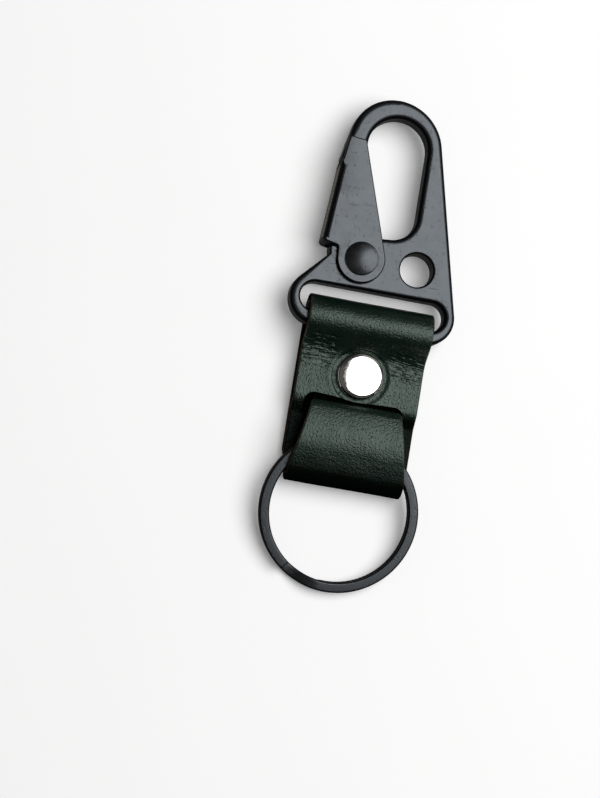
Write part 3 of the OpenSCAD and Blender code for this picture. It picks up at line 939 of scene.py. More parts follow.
@dataclass
class HookFrame:
    """The cast frame: nose, oval throat, lanyard hole, strap slot, and the lug that carries the gate."""

    width: float = 33.8
    thickness: float = 4.4
    bevel: float = 1.2
    bevel_right: float = 1.0
    bevel_left: float = 1.4
    bevel_depth: float = 0.75
    tip_bevel: float = 0.5
    slot_bevel: tuple[float, float] = (1.0, 0.5)
    corner_r: float = 5.5
    bar_y: float = 9.8
    bar_width: float = 2.8
    slot_length: float = 29.6
    slot_height: float = 5.8
    nose_x: float = -1.0
    nose_y: float = 56.65
    nose_back_r: float = 10.15
    nose_front_r: float = 8.9
    throat_r: float = 6.2
    throat_y: float = 46.75
    base_r: float = 5.15
    base_y: float = 33.3
    hole_x: float = 7.65
    hole_r: float = 3.4
    hole_bevel: float = 0.45
    tip_x: float = -10.45
    tip_r: float = 0.6
    tip_drops: tuple[float, float] = (-3.85, -0.85)
    pivot_x: float = -4.05
    pivot_y: float = 22.95
    lug_r: float = 4.7
    stop: tuple[float, float, float] = (-5.8, 1.45, 0.65)
    stop_foot: tuple[float, float, float] = (-6.9, 0.35, 0.6)
    bore_r: float = 1.65
    bore_bevel: float = 0.1
    pocket_r: float = 3.6
    pocket_side: float = 3.3
    pocket_height: float = 2.6
    pocket_points: int = 60
    overrun: float = 1.0

    def outline(self) -> list[Bend]:
        """The circles of the frame's outline, anticlockwise from the lower right corner.

        The tip's drops are counted from the throat's middle. The stop and its foot are x, y and radius from
        the pivot.

        Returns:
            The circles.
        """
        corner_x = self.width / 2 - self.corner_r
        corner_y = self.bar_y - self.bar_width / 2 + self.corner_r
        stop_x, stop_y, stop_r = self.stop
        foot_x, foot_y, foot_r = self.stop_foot
        return [
            Bend(corner_x, corner_y, self.corner_r),
            Bend(self.nose_x, self.nose_y - self.nose_back_r, self.nose_back_r),
            Bend(self.nose_x, self.nose_y - self.nose_front_r, self.nose_front_r),
            Bend(self.tip_x, self.throat_y + self.tip_drops[0], self.tip_r),
            Bend(-self.throat_r - self.tip_r, self.throat_y + self.tip_drops[1], self.tip_r),
            Bend(0.0, self.throat_y, self.throat_r, -1),
            Bend(self.throat_r - self.base_r, self.base_y, self.base_r, -1),
            Bend(self.pivot_x, self.pivot_y, self.lug_r),
            Bend(self.pivot_x + stop_x, self.pivot_y + stop_y, stop_r),
            Bend(self.pivot_x + foot_x, self.pivot_y + foot_y, foot_r, -1),
            Bend(-corner_x, corner_y, self.corner_r),
        ]

    def pocket(self) -> Shell:
        """The hollow in the lug that holds the spring: an arc below the pivot, straight sides above it.

        Returns:
            The solid that is taken away.
        """
        start = math.acos(self.pocket_side / self.pocket_r)
        angles = np.linspace(math.pi - start, 2 * math.pi + start, self.pocket_points)
        points = np.stack([np.cos(angles), np.sin(angles)], axis=1) * self.pocket_r
        top = self.lug_r + self.overrun
        points = np.concatenate([points, [[self.pocket_side, top], [-self.pocket_side, top]]])
        points += np.array([self.pivot_x, self.pivot_y])
        return prism(points, MID_Z - self.pocket_height / 2, MID_Z + self.pocket_height / 2)

    def build(self, material: bpy.types.Material) -> bpy.types.Object:
        """Builds and dresses the frame.

        Args:
            material: The frame's enamel.

        Returns:
            The finished piece.
        """
        low, high = MID_Z - self.thickness / 2, MID_Z + self.thickness / 2
        line = trace(self.outline())
        full, tight = self.bevel, self.tip_bevel
        bevel = spread(line, [
            self.bevel_right, full, self.bevel_left, tight, tight, full, full, full, tight, tight, full,
        ])
        rows = wall_profile(low, high, bevel, bevel * self.bevel_depth / self.bevel)
        slot_y = self.bar_y + self.bar_width / 2 + self.slot_height / 2
        slot_x = (self.slot_length - self.slot_height) / 2
        slot_r = self.slot_height / 2
        slot = trace([Bend(slot_x, slot_y, slot_r), Bend(-slot_x, slot_y, slot_r)])
        hole = circle(self.hole_x, self.pivot_y, self.hole_r)
        bore = circle(self.pivot_x, self.pivot_y, self.bore_r, BORE_POINTS)
        shell = Shell()
        slab(shell, line, rows, [
            (slot, wall_profile(low, high, spread(slot, self.slot_bevel), self.bevel_depth)),
            (hole, wall_profile(low, high, self.hole_bevel)),
            (bore, wall_profile(low, high, self.bore_bevel, steps=2)),
        ])
        obj = place(shell.mesh("hook_frame"), "hook_frame")
        carve(obj, self.pocket())
        paint(obj.data, "flank", flank)
        finish_piece(obj, Body.HOOK, "hook_body", material)
        return obj


@dataclass
class SnapGate:
    """The thumb lever: two cheeks and a knurled spine, bent from one sheet.

    The corners of its outline are x, y and radius. x is counted from the pivot, and y from the end of the
    tongue, from the top or the foot of the spine, or from the pivot. SPINE is the owner of the outline's
    points on the spine's straight stretch.
    """

    SPINE: ClassVar[float] = 4.5

    pivot_x: float = -4.05
    pivot_y: float = 22.95
    height: float = 7.0
    inner_height: float = 4.6
    sheet: float = 1.2
    disc_r: float = 4.9
    reach: float = 24.3
    spine_up: float = 18.6
    spine_low: float = 2.35
    tongue_right: tuple[float, float, float] = (-3.0, -0.65, 0.4)
    tongue_left: tuple[float, float, float] = (-5.75, -0.4, 0.4)
    spine_neck: tuple[float, float, float] = (-7.05, 1.05, 0.3)
    spine_top: tuple[float, float, float] = (-6.58, -0.3, 0.5)
    spine_foot: tuple[float, float, float] = (-7.67, 0.6, 0.6)
    heel: tuple[float, float, float] = (-5.45, 1.4, 0.45)
    web_x: float = -5.65
    web_span: tuple[float, float] = (2.45, 3.75)
    web_clear: float = -8.87
    overrun: float = 1.0
    bore_r: float = 1.65
    bore_bevel: float = 0.1
    edge_bevel: float = 0.3
    bend_r: float = 1.2
    bend_start: tuple[float, float] = (-0.5, 0.4)
    bend_end: tuple[float, float] = (-0.5, 0.3)
    fine_step: float = 0.09
    fine_rows: int = 45
    knurl_pitch: float = 0.8
    knurl_slant: float = 0.2
    knurl_depth: float = 0.2
    knurl_half: float = 2.5
    knurl_fade: tuple[float, float] = (0.5, 0.3)
    worn_edge: float = 0.2
    worn_inset: float = 0.25
    worn_limits: tuple[float, float] = (0.3, 0.6)

    def outline(self) -> list[Bend]:
        """The circles of the gate's outline, anticlockwise from its disc.

        Returns:
            The circles.
        """
        x, y = self.pivot_x, self.pivot_y
        corners = (
            (self.tongue_right, self.reach, 1), (self.tongue_left, self.reach, 1),
            (self.spine_neck, self.spine_up, -1), (self.spine_top, self.spine_up, 1),
            (self.spine_foot, self.spine_low, 1), (self.heel, 0.0, -1),
        )
        bends = [Bend(x + corner[0], y + base + corner[1], corner[2], turn) for corner, base, turn in corners]
        return [Bend(x, y, self.disc_r), *bends]

    def hollow(self, line: Line) -> Shell:
        """The space between the cheeks, with the web across the heel left standing.

        Args:
            line: The gate's outline, whose spine stretch gives the inner wall.

        Returns:
            The solid that is taken away.
        """
        spine = line.owner == self.SPINE
        inner = line.points[spine] - self.sheet * line.normals[spine]
        upper, lower = inner[0], inner[-1]

        def inside(y: float) -> list[float]:
            """The point of the spine's inner wall at a height y."""
            return [lower[0] + (upper[0] - lower[0]) * (y - lower[1]) / (upper[1] - lower[1]), y]

        low, high = self.pivot_y - self.disc_r - self.overrun, self.pivot_y + self.reach + self.overrun
        tongue = self.pivot_y + self.spine_up
        web_low, web_high = (self.pivot_y + y for y in self.web_span)
        web_x, far = self.pivot_x + self.web_x, self.pivot_x + self.web_clear
        near = self.pivot_x + self.disc_r + self.overrun
        points = np.array([
            inside(low), [near, low], [near, high], [far, high], [far, tongue], inside(tongue),
            inside(web_high), [web_x, web_high], [web_x, web_low], inside(web_low),
        ])
        return prism(points, MID_Z - self.inner_height / 2, MID_Z + self.inner_height / 2)

    def build(self, material: bpy.types.Material) -> bpy.types.Object:
        """Builds and dresses the gate.

        The outline's wall stands in many rows. Its bevel is small on the cheeks' cut edges and wide where the
        sheet is bent at the spine. The spine is pressed in along slanted lines, a triangle wave of the way
        along it and of the height.

        Args:
            material: The gate's enamel.

        Returns:
            The finished piece.
        """
        line = trace(self.outline(), stretch=self.fine_step)
        way = line.way()
        spine = way[(line.owner >= self.SPINE - 0.5) & (line.owner <= self.SPINE + 0.5)]
        before, start = (spine.min() + run for run in self.bend_start)
        end, after = (spine.max() + run for run in self.bend_end)
        bevel = np.interp(way, [before, start, end, after],
                          [self.edge_bevel, self.bend_r, self.bend_r, self.edge_bevel])
        low, high = MID_Z - self.height / 2, MID_Z + self.height / 2
        rows = wall_profile(low, high, bevel, rows=self.fine_rows)
        pressed = 1 - self.ridge(way[:, None], rows[..., 1])
        end_fade, side_fade = self.knurl_fade
        mask = smooth(way, start, start + end_fade) * (1 - smooth(way, end - end_fade, end))
        band = 1 - smooth(np.abs(rows[..., 1] - MID_Z), self.knurl_half - side_fade, self.knurl_half)
        rows[..., 0] += self.knurl_depth * mask[:, None] * band * pressed
        shell = Shell()
        bore = circle(self.pivot_x, self.pivot_y, self.bore_r, BORE_POINTS)
        slab(shell, line, rows, [(bore, wall_profile(low, high, self.bore_bevel, steps=2))])
        obj = place(shell.mesh("gate_lever"), "gate_lever")
        carve(obj, self.hollow(line))
        flat = line.owner == self.SPINE
        foot, way_foot = line.points[flat][0], way[flat][0]
        along = line.points[flat][-1] - foot
        length = np.linalg.norm(along)
        along = along / length
        out = line.normals[flat][0]

        def worn(places: np.ndarray, normals: np.ndarray) -> np.ndarray:
            """Share of bare metal: the tips of the knurl's ridges.

            Args:
                places: Places in millimetres.
                normals: Their normals, which it doesn't need.

            Returns:
                The share at each place.
            """
            run, off = (places[:, :2] - foot) @ along, (places[:, :2] - foot) @ out
            inside = (run > self.worn_edge) & (run < length - self.worn_edge) & (off > -self.worn_inset)
            inside &= np.abs(places[:, 2] - MID_Z) < self.knurl_half
            return inside * smooth(self.ridge(way_foot + run, places[:, 2]), *self.worn_limits)

        paint(obj.data, "flank", flank)
        paint(obj.data, "worn", worn)
        finish_piece(obj, Body.GATE, "gate", material, sharp=55.0)
        return obj

    def ridge(self, way: np.ndarray, height: np.ndarray) -> np.ndarray:
        """The knurl: a triangle wave across slanted lines, 1 on a ridge and 0 in a groove."""
        wave = ((way + height * self.knurl_slant) / self.knurl_pitch) % 1.0
        return 2 * np.abs(wave - 0.5)


@dataclass
class PivotRivet:
    """The domed rivet that the gate turns on: a shaft with a head on each side."""

    x: float = -4.05
    y: float = 22.95
    shaft_r: float = 1.6
    head_r: float = 3.4
    head_height: float = 0.9
    rise: float = 0.63
    half_gap: float = 3.6
    edge: float = 0.06
    shoulder: float = 0.16
    lean: float = 0.075

    def build(self, material: bpy.types.Material) -> bpy.types.Object:
        """Builds and dresses the rivet. The peened dome leans a little to the left, as in the photograph.

        Args:
            material: The rivet's enamel.

        Returns:
            The finished piece.
        """
        rim = self.head_height - self.rise
        head = dome_profile(self.head_r, self.half_gap, rim, self.rise, self.edge, self.shoulder)
        upper = np.concatenate([[[self.shaft_r, self.half_gap]], head])
        lower = upper[::-1] * np.array([1.0, -1.0])
        profile = np.concatenate([lower, upper]) + np.array([0.0, MID_Z])
        shell = Shell()
        revolve(shell, profile, self.x, self.y)
        foot = MID_Z + self.half_gap
        for places in shell.places:
            share = smooth(places[:, 2], foot + self.edge, foot + self.head_height - self.rise)
            places[:, 2] += self.lean * (places[:, 0] - self.x) * share
        obj = place(shell.mesh("pivot_rivet"), "pivot_rivet")
        paint(obj.data, "flank", steep)
        finish_piece(obj, Body.HOOK, "gate_pivot_rivet", material)
        return obj


@dataclass
class StrapRivet:
    """The rivet that closes the strap: a polished cap in front, and a post with a flat head behind."""

    cap_r: float = 4.8
    cap_low: float = 4.5
    cap_edge: float = 0.12
    rim: float = 1.35
    shoulder: float = 1.05
    dome: float = 0.4
    lean: float = 0.04
    lean_start: float = 0.1
    post_r: float = 1.4
    post_chamfer: float = 0.1
    back_r: float = 4.2
    back_height: float = 0.5
    back_edge: float = 0.15
    dimple: tuple[tuple[float, float], ...] = ((0.0, 0.18), (0.9, 0.18), (1.15, 0.1), (1.3, 0.0))
    socket: float = 0.8
    post_gap: float = 0.02
    leather_gap: float = 0.05
    overrun: float = 1.0

    def build_cap(self, material: bpy.types.Material) -> bpy.types.Object:
        """Builds and dresses the cap: a dome, set a little askew, over a rolled rim, and the socket below.

        Args:
            material: The cap's plating.

        Returns:
            The finished piece.
        """
        socket_r, socket_z = self.post_r + self.post_gap, self.cap_low + self.socket
        outside = dome_profile(self.cap_r, self.cap_low, self.rim, self.dome, self.cap_edge, self.shoulder)
        under = np.array([[0.0, socket_z], [socket_r, socket_z], [socket_r, self.cap_low]])
        shell = Shell()
        revolve(shell, np.concatenate([under, outside]), 0.0, 0.0, count=128)
        for places in shell.places:
            share = smooth(places[:, 2], self.cap_low + self.lean_start, self.cap_low + self.rim)
            places[:, 2] -= self.lean * places[:, 1] * share
        obj = place(shell.mesh("strap_rivet_cap"), "strap_rivet_cap")
        finish_piece(obj, Body.STRAP, "rivet_cap", material)
        return obj

    def build_post(self, material: bpy.types.Material) -> bpy.types.Object:
        """Builds and dresses the post: a flat head with a rounded edge and a dimple, and the shank on it.

        Args:
            material: The post's metal.

        Returns:
            The finished piece.
        """
        a = np.linspace(0.0, np.pi / 2, EDGE_POINTS)
        edge, top, chamfer = self.back_edge, self.cap_low + self.socket, self.post_chamfer
        profile = np.concatenate([
            self.dimple,
            np.stack([self.back_r - edge + edge * np.sin(a), edge - edge * np.cos(a)], axis=1),
            [[self.back_r, self.back_height], [self.post_r, self.back_height]],
            [[self.post_r, top - chamfer], [self.post_r - chamfer, top]],
            [[0.0, top]],
        ])
        shell = Shell()
        revolve(shell, profile, 0.0, 0.0)
        obj = place(shell.mesh("strap_rivet_post"), "strap_rivet_post")
        finish_piece(obj, Body.STRAP, "rivet_post", material)
        return obj

    def bore(self) -> Shell:
        """The space that the post and the back head take out of the leather.

        Returns:
            The solid that is taken away.
        """
        head_r, post_r = self.back_r + self.leather_gap, self.post_r + self.leather_gap
        step, top = self.back_height + self.post_gap, self.cap_low + self.overrun
        profile = np.array([
            [0.0, -self.overrun], [head_r, -self.overrun], [head_r, step],
            [post_r, step], [post_r, top], [0.0, top],
        ])
        shell = Shell()
        revolve(shell, profile, 0.0, 0.0, count=72)
        return shell


@dataclass
class SplitRing:
    """The ring: flat wire wound in two turns, with a climb beside its ends."""

    outer_r: float = 16.0
    wire_width: float = 2.05
    wire_thickness: float = 1.08
    turn_gap: float = 0.45
    x: float = 0.2
    y: float = -27.5
    z: float = 3.41807
    tilt: float = 7.75403
    end: float = 235.0
    climb: float = 29.0
    step: float = 2.0
    edge: float = 0.4
    corner_points: int = 6
    end_taper: float = 0.08
    end_run: float = 1.5

    def build(self, material: bpy.types.Material) -> bpy.types.Object:
        """Builds and dresses the ring.

        The middle line runs round a circle and rises by half a cosine wave over the climb. A rectangle with
        round corners is carried along it, upright, and the whole is turned about x by the ring's tilt.

        Args:
            material: The ring's plating.

        Returns:
            The finished piece.
        """
        angles = np.arange(self.end + self.climb - 360, self.end + 360 + self.step / 20, self.step)
        climbed = np.clip((angles - self.end) / self.climb, 0.0, 1.0)
        a = np.radians(angles)
        middle_r = self.outer_r - self.wire_width / 2
        height = -(self.wire_thickness + self.turn_gap) / 2 * np.cos(np.pi * climbed)
        path = np.stack([middle_r * np.cos(a), middle_r * np.sin(a), height], axis=1)
        along = np.gradient(path, axis=0)
        along /= np.linalg.norm(along, axis=1)[:, None]
        right = np.cross(along, [0.0, 0.0, 1.0])
        right /= np.linalg.norm(right, axis=1)[:, None]
        up = np.cross(right, along)
        half = np.array([self.wire_width, self.wire_thickness]) / 2 - self.edge
        quarters = [np.linspace(first, first + 90, self.corner_points) for first in (0, 90, 180, 270)]
        turn = np.radians(np.concatenate(quarters))
        corner = np.repeat([[1, 1], [-1, 1], [-1, -1], [1, -1]], self.corner_points, axis=0) * half
        section = corner + self.edge * np.stack([np.cos(turn), np.sin(turn)], axis=1)
        from_end = np.minimum(angles - angles[0], angles[-1] - angles)
        ends = 1.0 - self.end_taper * (1 - smooth(from_end, 0.0, self.end_run))
        section = section[None] * ends[:, None, None]
        grid = path[:, None] + section[..., :1] * right[:, None] + section[..., 1:] * up[:, None]
        t = math.radians(self.tilt)
        tilted = np.array([[1, 0, 0], [0, math.cos(t), math.sin(t)], [0, -math.sin(t), math.cos(t)]])
        middle = np.array([self.x, self.y, self.z])
        shell = Shell()
        numbers = shell.add(grid @ tilted + middle)
        shell.sheet(numbers, (False, True))
        poles = shell.add(path[[0, -1]] @ tilted + middle)
        shell.fan(numbers[0], int(poles[0]), Side.IN)
        shell.fan(numbers[-1], int(poles[1]))
        obj = place(shell.mesh("key_ring"), "key_ring")
        paint(obj.data, "flank", flank)
        finish_piece(obj, Body.RING, "split_ring", material)
        return obj


@dataclass(frozen=True)
class CreasedPatch:
    """A part of the front panel beside the rivet with creases that run sideways.

    The patch is on the side 1 or -1 of the rivet, and fades out between the limits low, high and beside. Its
    furrows are slanted, and wander by a slow noise.
    """

    side: int
    low: tuple[float, float]
    high: tuple[float, float]
    slant: float
    cell: tuple[float, float]
    seeds: tuple[int, int]
    depth: float
    beside: tuple[float, float] = (4.8, 6.8)
    wander: float = 0.3
    wander_cell: tuple[float, float] = (6.0, 3.0)

    def heights(self, x: np.ndarray, y: np.ndarray) -> np.ndarray:
        """Heights of the creases, 0 or less.

        Args:
            x: Sideways places.
            y: Places along the strip.

        Returns:
            The heights in millimetres.
        """
        share = smooth(self.side * x, *self.beside) * smooth(y, *self.low) * (1 - smooth(y, *self.high))
        slanted = y + self.slant * x + self.wander * noise(x, y, self.wander_cell, self.seeds[0], 2)
        return self.depth * share * furrows(x, slanted, self.cell, self.seeds[1], 3)


@dataclass(frozen=True)
class Wrinkles:
    """Fine wrinkles on the tongue: the size of their cells sideways and along the strip, and their depth."""

    cell: tuple[float, float]
    seed: int
    depth: float

    def heights(self, x: np.ndarray, way: np.ndarray, share: np.ndarray) -> np.ndarray:
        """Heights of the wrinkles: the depth times the share times the furrows, 0 or less."""
        return self.depth * share * furrows(x, way, self.cell, self.seed)


@dataclass
class LeatherStrap:
    """One strip of leather: front panel, loop round the bar, back, fold round the ring, and the tongue.

    The pairs of lengths in the second half of its fields are the limits between which a share grows from 0
    to 1. Where a field's name starts with a station, they are counted from it.
    """

    width: float = 25.4
    thickness: float = 1.5
    fold_width: float = 23.6
    tongue_width: float = 18.2
    panel_end: float = -18.7
    corner_r: float = 1.5
    edge_r: float = 0.32
    back_z: float = 0.75
    tuck_z: float = 2.3
    rise_y: float = -9.3
    rise_r: float = 3.0
    crest_r: float = 3.0
    panel_z: float = 3.85
    climb_y: float = 2.6
    climb_r: float = 4.5
    loop_y: float = 10.3
    loop_r: float = 3.75
    fold_y: float = -19.15
    fold_r: float = 3.0
    hump_y: float = -13.3
    hump_z: float = 7.91568
    hump_r: float = 12.0
    crown_r: float = 17.0
    plunge_y: float = -6.85
    plunge_r: float = 1.6
    dive_r: float = 1.3
    join_y: float = -10.0
    mouth_y: float = -5.0
    mouth_low: float = -8.8
    mouth_half: float = 9.9
    mouth_left: float = 10.4
    mouth_corners: tuple[float, float] = (2.0, 1.9)
    mouth_top: tuple[tuple[float, float], ...] = (
        (-9.9, -4.55), (-5.0, -4.75), (0.0, -5.3), (5.0, -5.05), (8.0, -4.95),
    )
    mouth_points: int = 60
    mouth_corner_points: int = 12
    mouth_gap: float = 0.025
    mouth_reach: float = 9.5
    mouth_run: float = 0.7
    flare_run: float = 2.5
    dive_run: float = 1.9
    under_y: float = -4.0
    tongue_end: float = 4.6
    top_points: int = 108
    back_points: int = 44
    corner_steps: int = 4
    end_points: int = 6
    front_steps: tuple[float, ...] = (0.15, 0.3, 0.1, 0.22, 0.6)
    rear_steps: tuple[float, ...] = (0.5, 0.2, 0.14, 0.5)
    dive_taper: tuple[float, float] = (-0.8, 2.0)
    taper: float = 0.9
    swell: float = 0.07
    swell_cell: tuple[float, float] = (7.0, 6.0)
    swell_seed: int = 11
    mark_r: float = 5.75
    mark_z: float = 4.38
    mark_depth: float = 0.42
    mark_edge: tuple[float, float] = (-0.3, 0.25)
    lip_height: float = 0.05
    lip_run: float = 0.6
    lip_width: float = 0.45
    loop_fade: tuple[float, float] = (-1.0, 1.5)
    fold_rise: tuple[float, float] = (-3.0, 0.0)
    fold_fade: tuple[float, float] = (3.0, 5.0)
    dive_rise: tuple[float, float] = (-2.5, -0.5)
    left: CreasedPatch = CreasedPatch(-1, (-0.5, 2.0), (8.0, 9.8), 0.05, (3.2, 0.5), (5, 21), 0.2)
    right: CreasedPatch = CreasedPatch(1, (-1.0, 1.5), (6.5, 8.5), 0.12, (3.0, 0.5), (6, 22), 0.16)
    fold_wrinkles: Wrinkles = Wrinkles((5.0, 0.8), 23, 0.02)
    dive_wrinkles: Wrinkles = Wrinkles((1.1, 3.0), 24, 0.03)
    cut_sideways: tuple[float, float] = (0.5, 0.85)
    cut_upright: tuple[float, float] = (0.6, 0.9)
    cut_margin: float = 0.1
    cut_y: tuple[float, float] = (-5.5, -4.4)
    cut_z: tuple[float, float] = (1.6, 4.7)
    # Painted shade on the tongue's end under the panel and on the fold's front that looks down
    hidden_run: tuple[float, float] = (-0.35, 0.1)
    hidden_z: tuple[float, float] = (5.0, 6.4)
    front_y: tuple[float, float] = (13.5, 22.4)
    front_up: tuple[float, float] = (-0.5, -0.1)
    # Painted shade on the panel's end beside the tongue: its strength, and its limits in y and z
    panel_shade: float = 0.9
    panel_shade_y: tuple[float, float] = (5.2, 7.5)
    panel_shade_z: tuple[float, float] = (1.3, 1.7)
    flesh_up: tuple[float, float] = (0.2, 0.6)
    flesh_gap: float = 0.3
    worn_middle: tuple[float, float] = (-11.2, -7.4)
    worn_size: tuple[float, float] = (0.9, 1.9)
    worn_z: tuple[float, float] = (2.6, 3.2)

    def path(self) -> Line:
        """The strip's middle line in y and z, from the panel's free end to the tongue's, in fine steps.

        Returns:
            The line, whose normals point away from the grain side.
        """
        plunge_in = self.plunge_y - self.plunge_r
        crown_z = self.hump_z - self.crown_r
        plunge_z = crown_z + math.sqrt((self.crown_r - self.plunge_r) ** 2 - (plunge_in - self.hump_y) ** 2)
        return trace([
            Bend(self.panel_end, self.tuck_z, 0.0),
            Bend(self.rise_y, self.tuck_z + self.rise_r, self.rise_r),
            Bend(self.mouth_y, self.panel_z - self.crest_r, self.crest_r, -1),
            Bend(self.climb_y, self.panel_z + self.climb_r, self.climb_r),
            Bend(self.loop_y, MID_Z, self.loop_r, -1),
            Bend(self.fold_y, self.back_z + self.fold_r, self.fold_r, -1),
            Bend(self.hump_y, self.hump_z - self.hump_r, self.hump_r, -1),
            Bend(self.hump_y, crown_z, self.crown_r, -1),
            Bend(plunge_in, plunge_z, self.plunge_r, -1),
            Bend(self.plunge_y + self.dive_r, self.tuck_z + self.dive_r, self.dive_r),
            Bend(self.tongue_end, self.tuck_z, 0.0),
        ], closed=False, arc_step=0.5, stretch=0.05)

    def stations(self, line: Line) -> dict[str, float]:
        """Ways along the strip at which its form changes.

        Args:
            line: The fine middle line.

        Returns:
            The way at each named place.
        """
        way, y = line.way(), line.points[:, 0]

        def at(place_y: float, first: float, last: float) -> float:
            """The way at which y passes a place.

            Args:
                place_y: The place.
                first: The first owner of the line's points to look at.
                last: The last one.

            Returns:
                The way.
            """
            part = (line.owner >= first) & (line.owner <= last)
            order = np.argsort(y[part])
            return float(np.interp(place_y, y[part][order], way[part][order]))

        loop = way[line.owner == Turn.LOOP]
        back = Turn.LOOP + 0.5
        return {
            "mouth": at(self.mouth_low - self.mouth_run, 0.0, Turn.RISE + 0.5),
            "loop": float(loop[0]),
            "loop_end": float(loop[-1]),
            "join": at(self.join_y, back, back),
            "flare": at(self.fold_y + self.flare_run, back, back),
            "fold": at(self.fold_y, back, back),
            "fold_top": float(way[line.owner == Turn.FOLD][-1]),
            "dive": at(self.mouth_low + self.dive_run, Turn.CROWN, Turn.PLUNGE),
            "under": at(self.under_y, Turn.DIVE, Turn.DIVE + 0.5),
            "end": float(way[-1]),
        }

    def half_width(self, way: np.ndarray, at: dict[str, float]) -> np.ndarray:
        """Half the strip's width: narrower round the fold, then tapering to the tongue.

        Args:
            way: Ways along the strip.
            at: The strip's stations.

        Returns:
            The half width at each way, with the panel's corners rounded.
        """
        half = np.interp(
            way, [at["flare"], at["fold"], at["fold_top"], at["dive"]],
            [self.width / 2, self.fold_width / 2, self.fold_width / 2, self.tongue_width / 2],
        )
        first, last = self.dive_taper
        half = half - self.taper * smooth(way, at["dive"] + first, at["dive"] + last)
        short = np.clip(self.corner_r - way, 0.0, self.corner_r)
        return half - (self.corner_r - np.sqrt(self.corner_r**2 - short**2))

    def relief(
        self, way: np.ndarray, y: np.ndarray, top: np.ndarray, x: np.ndarray, at: dict[str, float]
    ) -> np.ndarray:
        """Height of the grain side over its plain surface.

        The panel has the round mark that the rivet's tool pressed, with a raised lip, and creases on both
        sides of it. The tongue has fine wrinkles, and the whole strip has a slow swell.

        Args:
            way: Ways along the strip, as a column.
            y: The strip's y at those ways, as a column.
            top: Height of its plain grain side there, as a column.
            x: Sideways places.
            at: The strip's stations.

        Returns:
            The heights in millimetres.
        """
        def after(station: str, span: tuple[float, float]) -> np.ndarray:
            """A share that grows from 0 to 1 over a span of ways, counted from a station."""
            return smooth(way, at[station] + span[0], at[station] + span[1])

        swell = self.swell * noise(x, way, self.swell_cell, self.swell_seed, 2)
        panel = 1 - after("loop", self.loop_fade)
        r = np.hypot(x, y)
        press = np.clip(top - self.mark_z, 0.0, self.mark_depth)
        mark = -press * (1 - smooth(r, self.mark_r + self.mark_edge[0], self.mark_r + self.mark_edge[1]))
        mark += self.lip_height * np.exp(-((r - self.mark_r - self.lip_run) / self.lip_width) ** 2)
        creases = self.left.heights(x, y) + self.right.heights(x, y)
        tongue = after("fold_top", self.fold_rise) * (1 - smooth(way, at["dive"], at["under"]))
        low = self.fold_wrinkles.heights(x, way, tongue * (1 - after("fold_top", self.fold_fade)))
        near = self.dive_wrinkles.heights(x, way, tongue * after("dive", self.dive_rise))
        return swell + panel * (mark + creases) + low + near

    def ribbon(
        self, line: Line, ways: np.ndarray, at: dict[str, float], ends: tuple[bool, bool]
    ) -> Shell:
        """A stretch of the strip: a rectangle with round corners carried along the middle line.

        Each point is the middle line's point plus its height times the line's normal, which points away from
        the grain side, and x goes sideways.

        Args:
            line: The fine middle line.
            ways: The ways at which the rectangle stands.
            at: The strip's stations.
            ends: Whether the first and the last rectangle are free ends, which are rounded.

        Returns:
            The closed solid.
        """
        fine = line.way()
        y, z = (np.interp(ways, fine, line.points[:, k]) for k in range(2))
        ny, nz = (-np.interp(ways, fine, line.normals[:, k]) for k in range(2))
        half = self.half_width(ways, at)
        short = np.full(len(ways), self.edge_r)
        if ends[0]:
            short = np.minimum(short, ways - ways[0])
        if ends[1]:
            short = np.minimum(short, ways[-1] - ways)
        inner = self.thickness / 2 - self.edge_r
        thick = inner + np.sqrt(self.edge_r**2 - (self.edge_r - short) ** 2)
        arc = np.linspace(0.0, np.pi / 2, self.corner_steps + 1)
        side_points = np.ones(2 * self.corner_steps)
        share = np.concatenate([
            np.linspace(-1.0, 1.0, self.top_points), side_points,
            np.linspace(1.0, -1.0, self.back_points), -side_points,
        ])
        turn = np.concatenate([
            np.full(self.top_points, np.pi / 2), np.pi / 2 - arc[1:], -arc[:-1],
            np.full(self.back_points, -np.pi / 2), -np.pi / 2 - arc[1:], np.pi - arc[:-1],
        ])
        x = share * (half[:, None] - self.edge_r) + self.edge_r * np.cos(turn) * (np.abs(share) >= 1)
        level = np.where(np.sin(turn) >= 0, 1.0, -1.0)
        side = np.abs(np.cos(turn)) > TINY
        height = np.where(side, level * inner + self.edge_r * np.sin(turn), level * (inner + self.edge_r))
        height = height * (thick / (self.thickness / 2))[:, None]
        grain = np.clip(height / (self.thickness / 2), 0.0, 1.0)
        top = z + self.thickness / 2 * nz
        height = height + grain * self.relief(ways[:, None], y[:, None], top[:, None], x, at)
        shell = Shell()
        points = [x, y[:, None] + height * ny[:, None], z[:, None] + height * nz[:, None]]
        numbers = shell.add(np.stack(points, axis=2))
        shell.sheet(numbers, (False, True), Side.IN)
        for row, looks in ((0, Side.OUT), (-1, Side.IN)):
            middle = shell.add(np.array([[0.0, y[row], z[row]]]))
            shell.fan(numbers[row], int(middle[0]), looks)
        return shell

    def mouth(self) -> Shell:
        """The cut-out in the panel that the tongue dives into, with an upper edge that sags in the middle.

        Returns:
            The solid that is taken away.
        """
        left_r, right_r = self.mouth_corners
        x = np.linspace(-self.mouth_left + left_r, self.mouth_half - right_r, self.mouth_points)
        top = np.stack([x, np.interp(x, *zip(*self.mouth_top))], axis=1)
        arc = np.linspace(0.0, np.pi / 2, self.mouth_corner_points)[1:]
        left = np.stack([x[0] - left_r * np.sin(arc), top[0, 1] - left_r * (1 - np.cos(arc))], axis=1)
        right = np.stack([x[-1] + right_r * np.sin(arc), top[-1, 1] - right_r * (1 - np.cos(arc))], axis=1)
        low = np.array([[-self.mouth_left, self.mouth_low], [self.mouth_half, self.mouth_low]])
        points = np.concatenate([low, right[::-1], top[::-1], left])
        return prism(points, self.thickness + self.mouth_gap, self.mouth_reach)

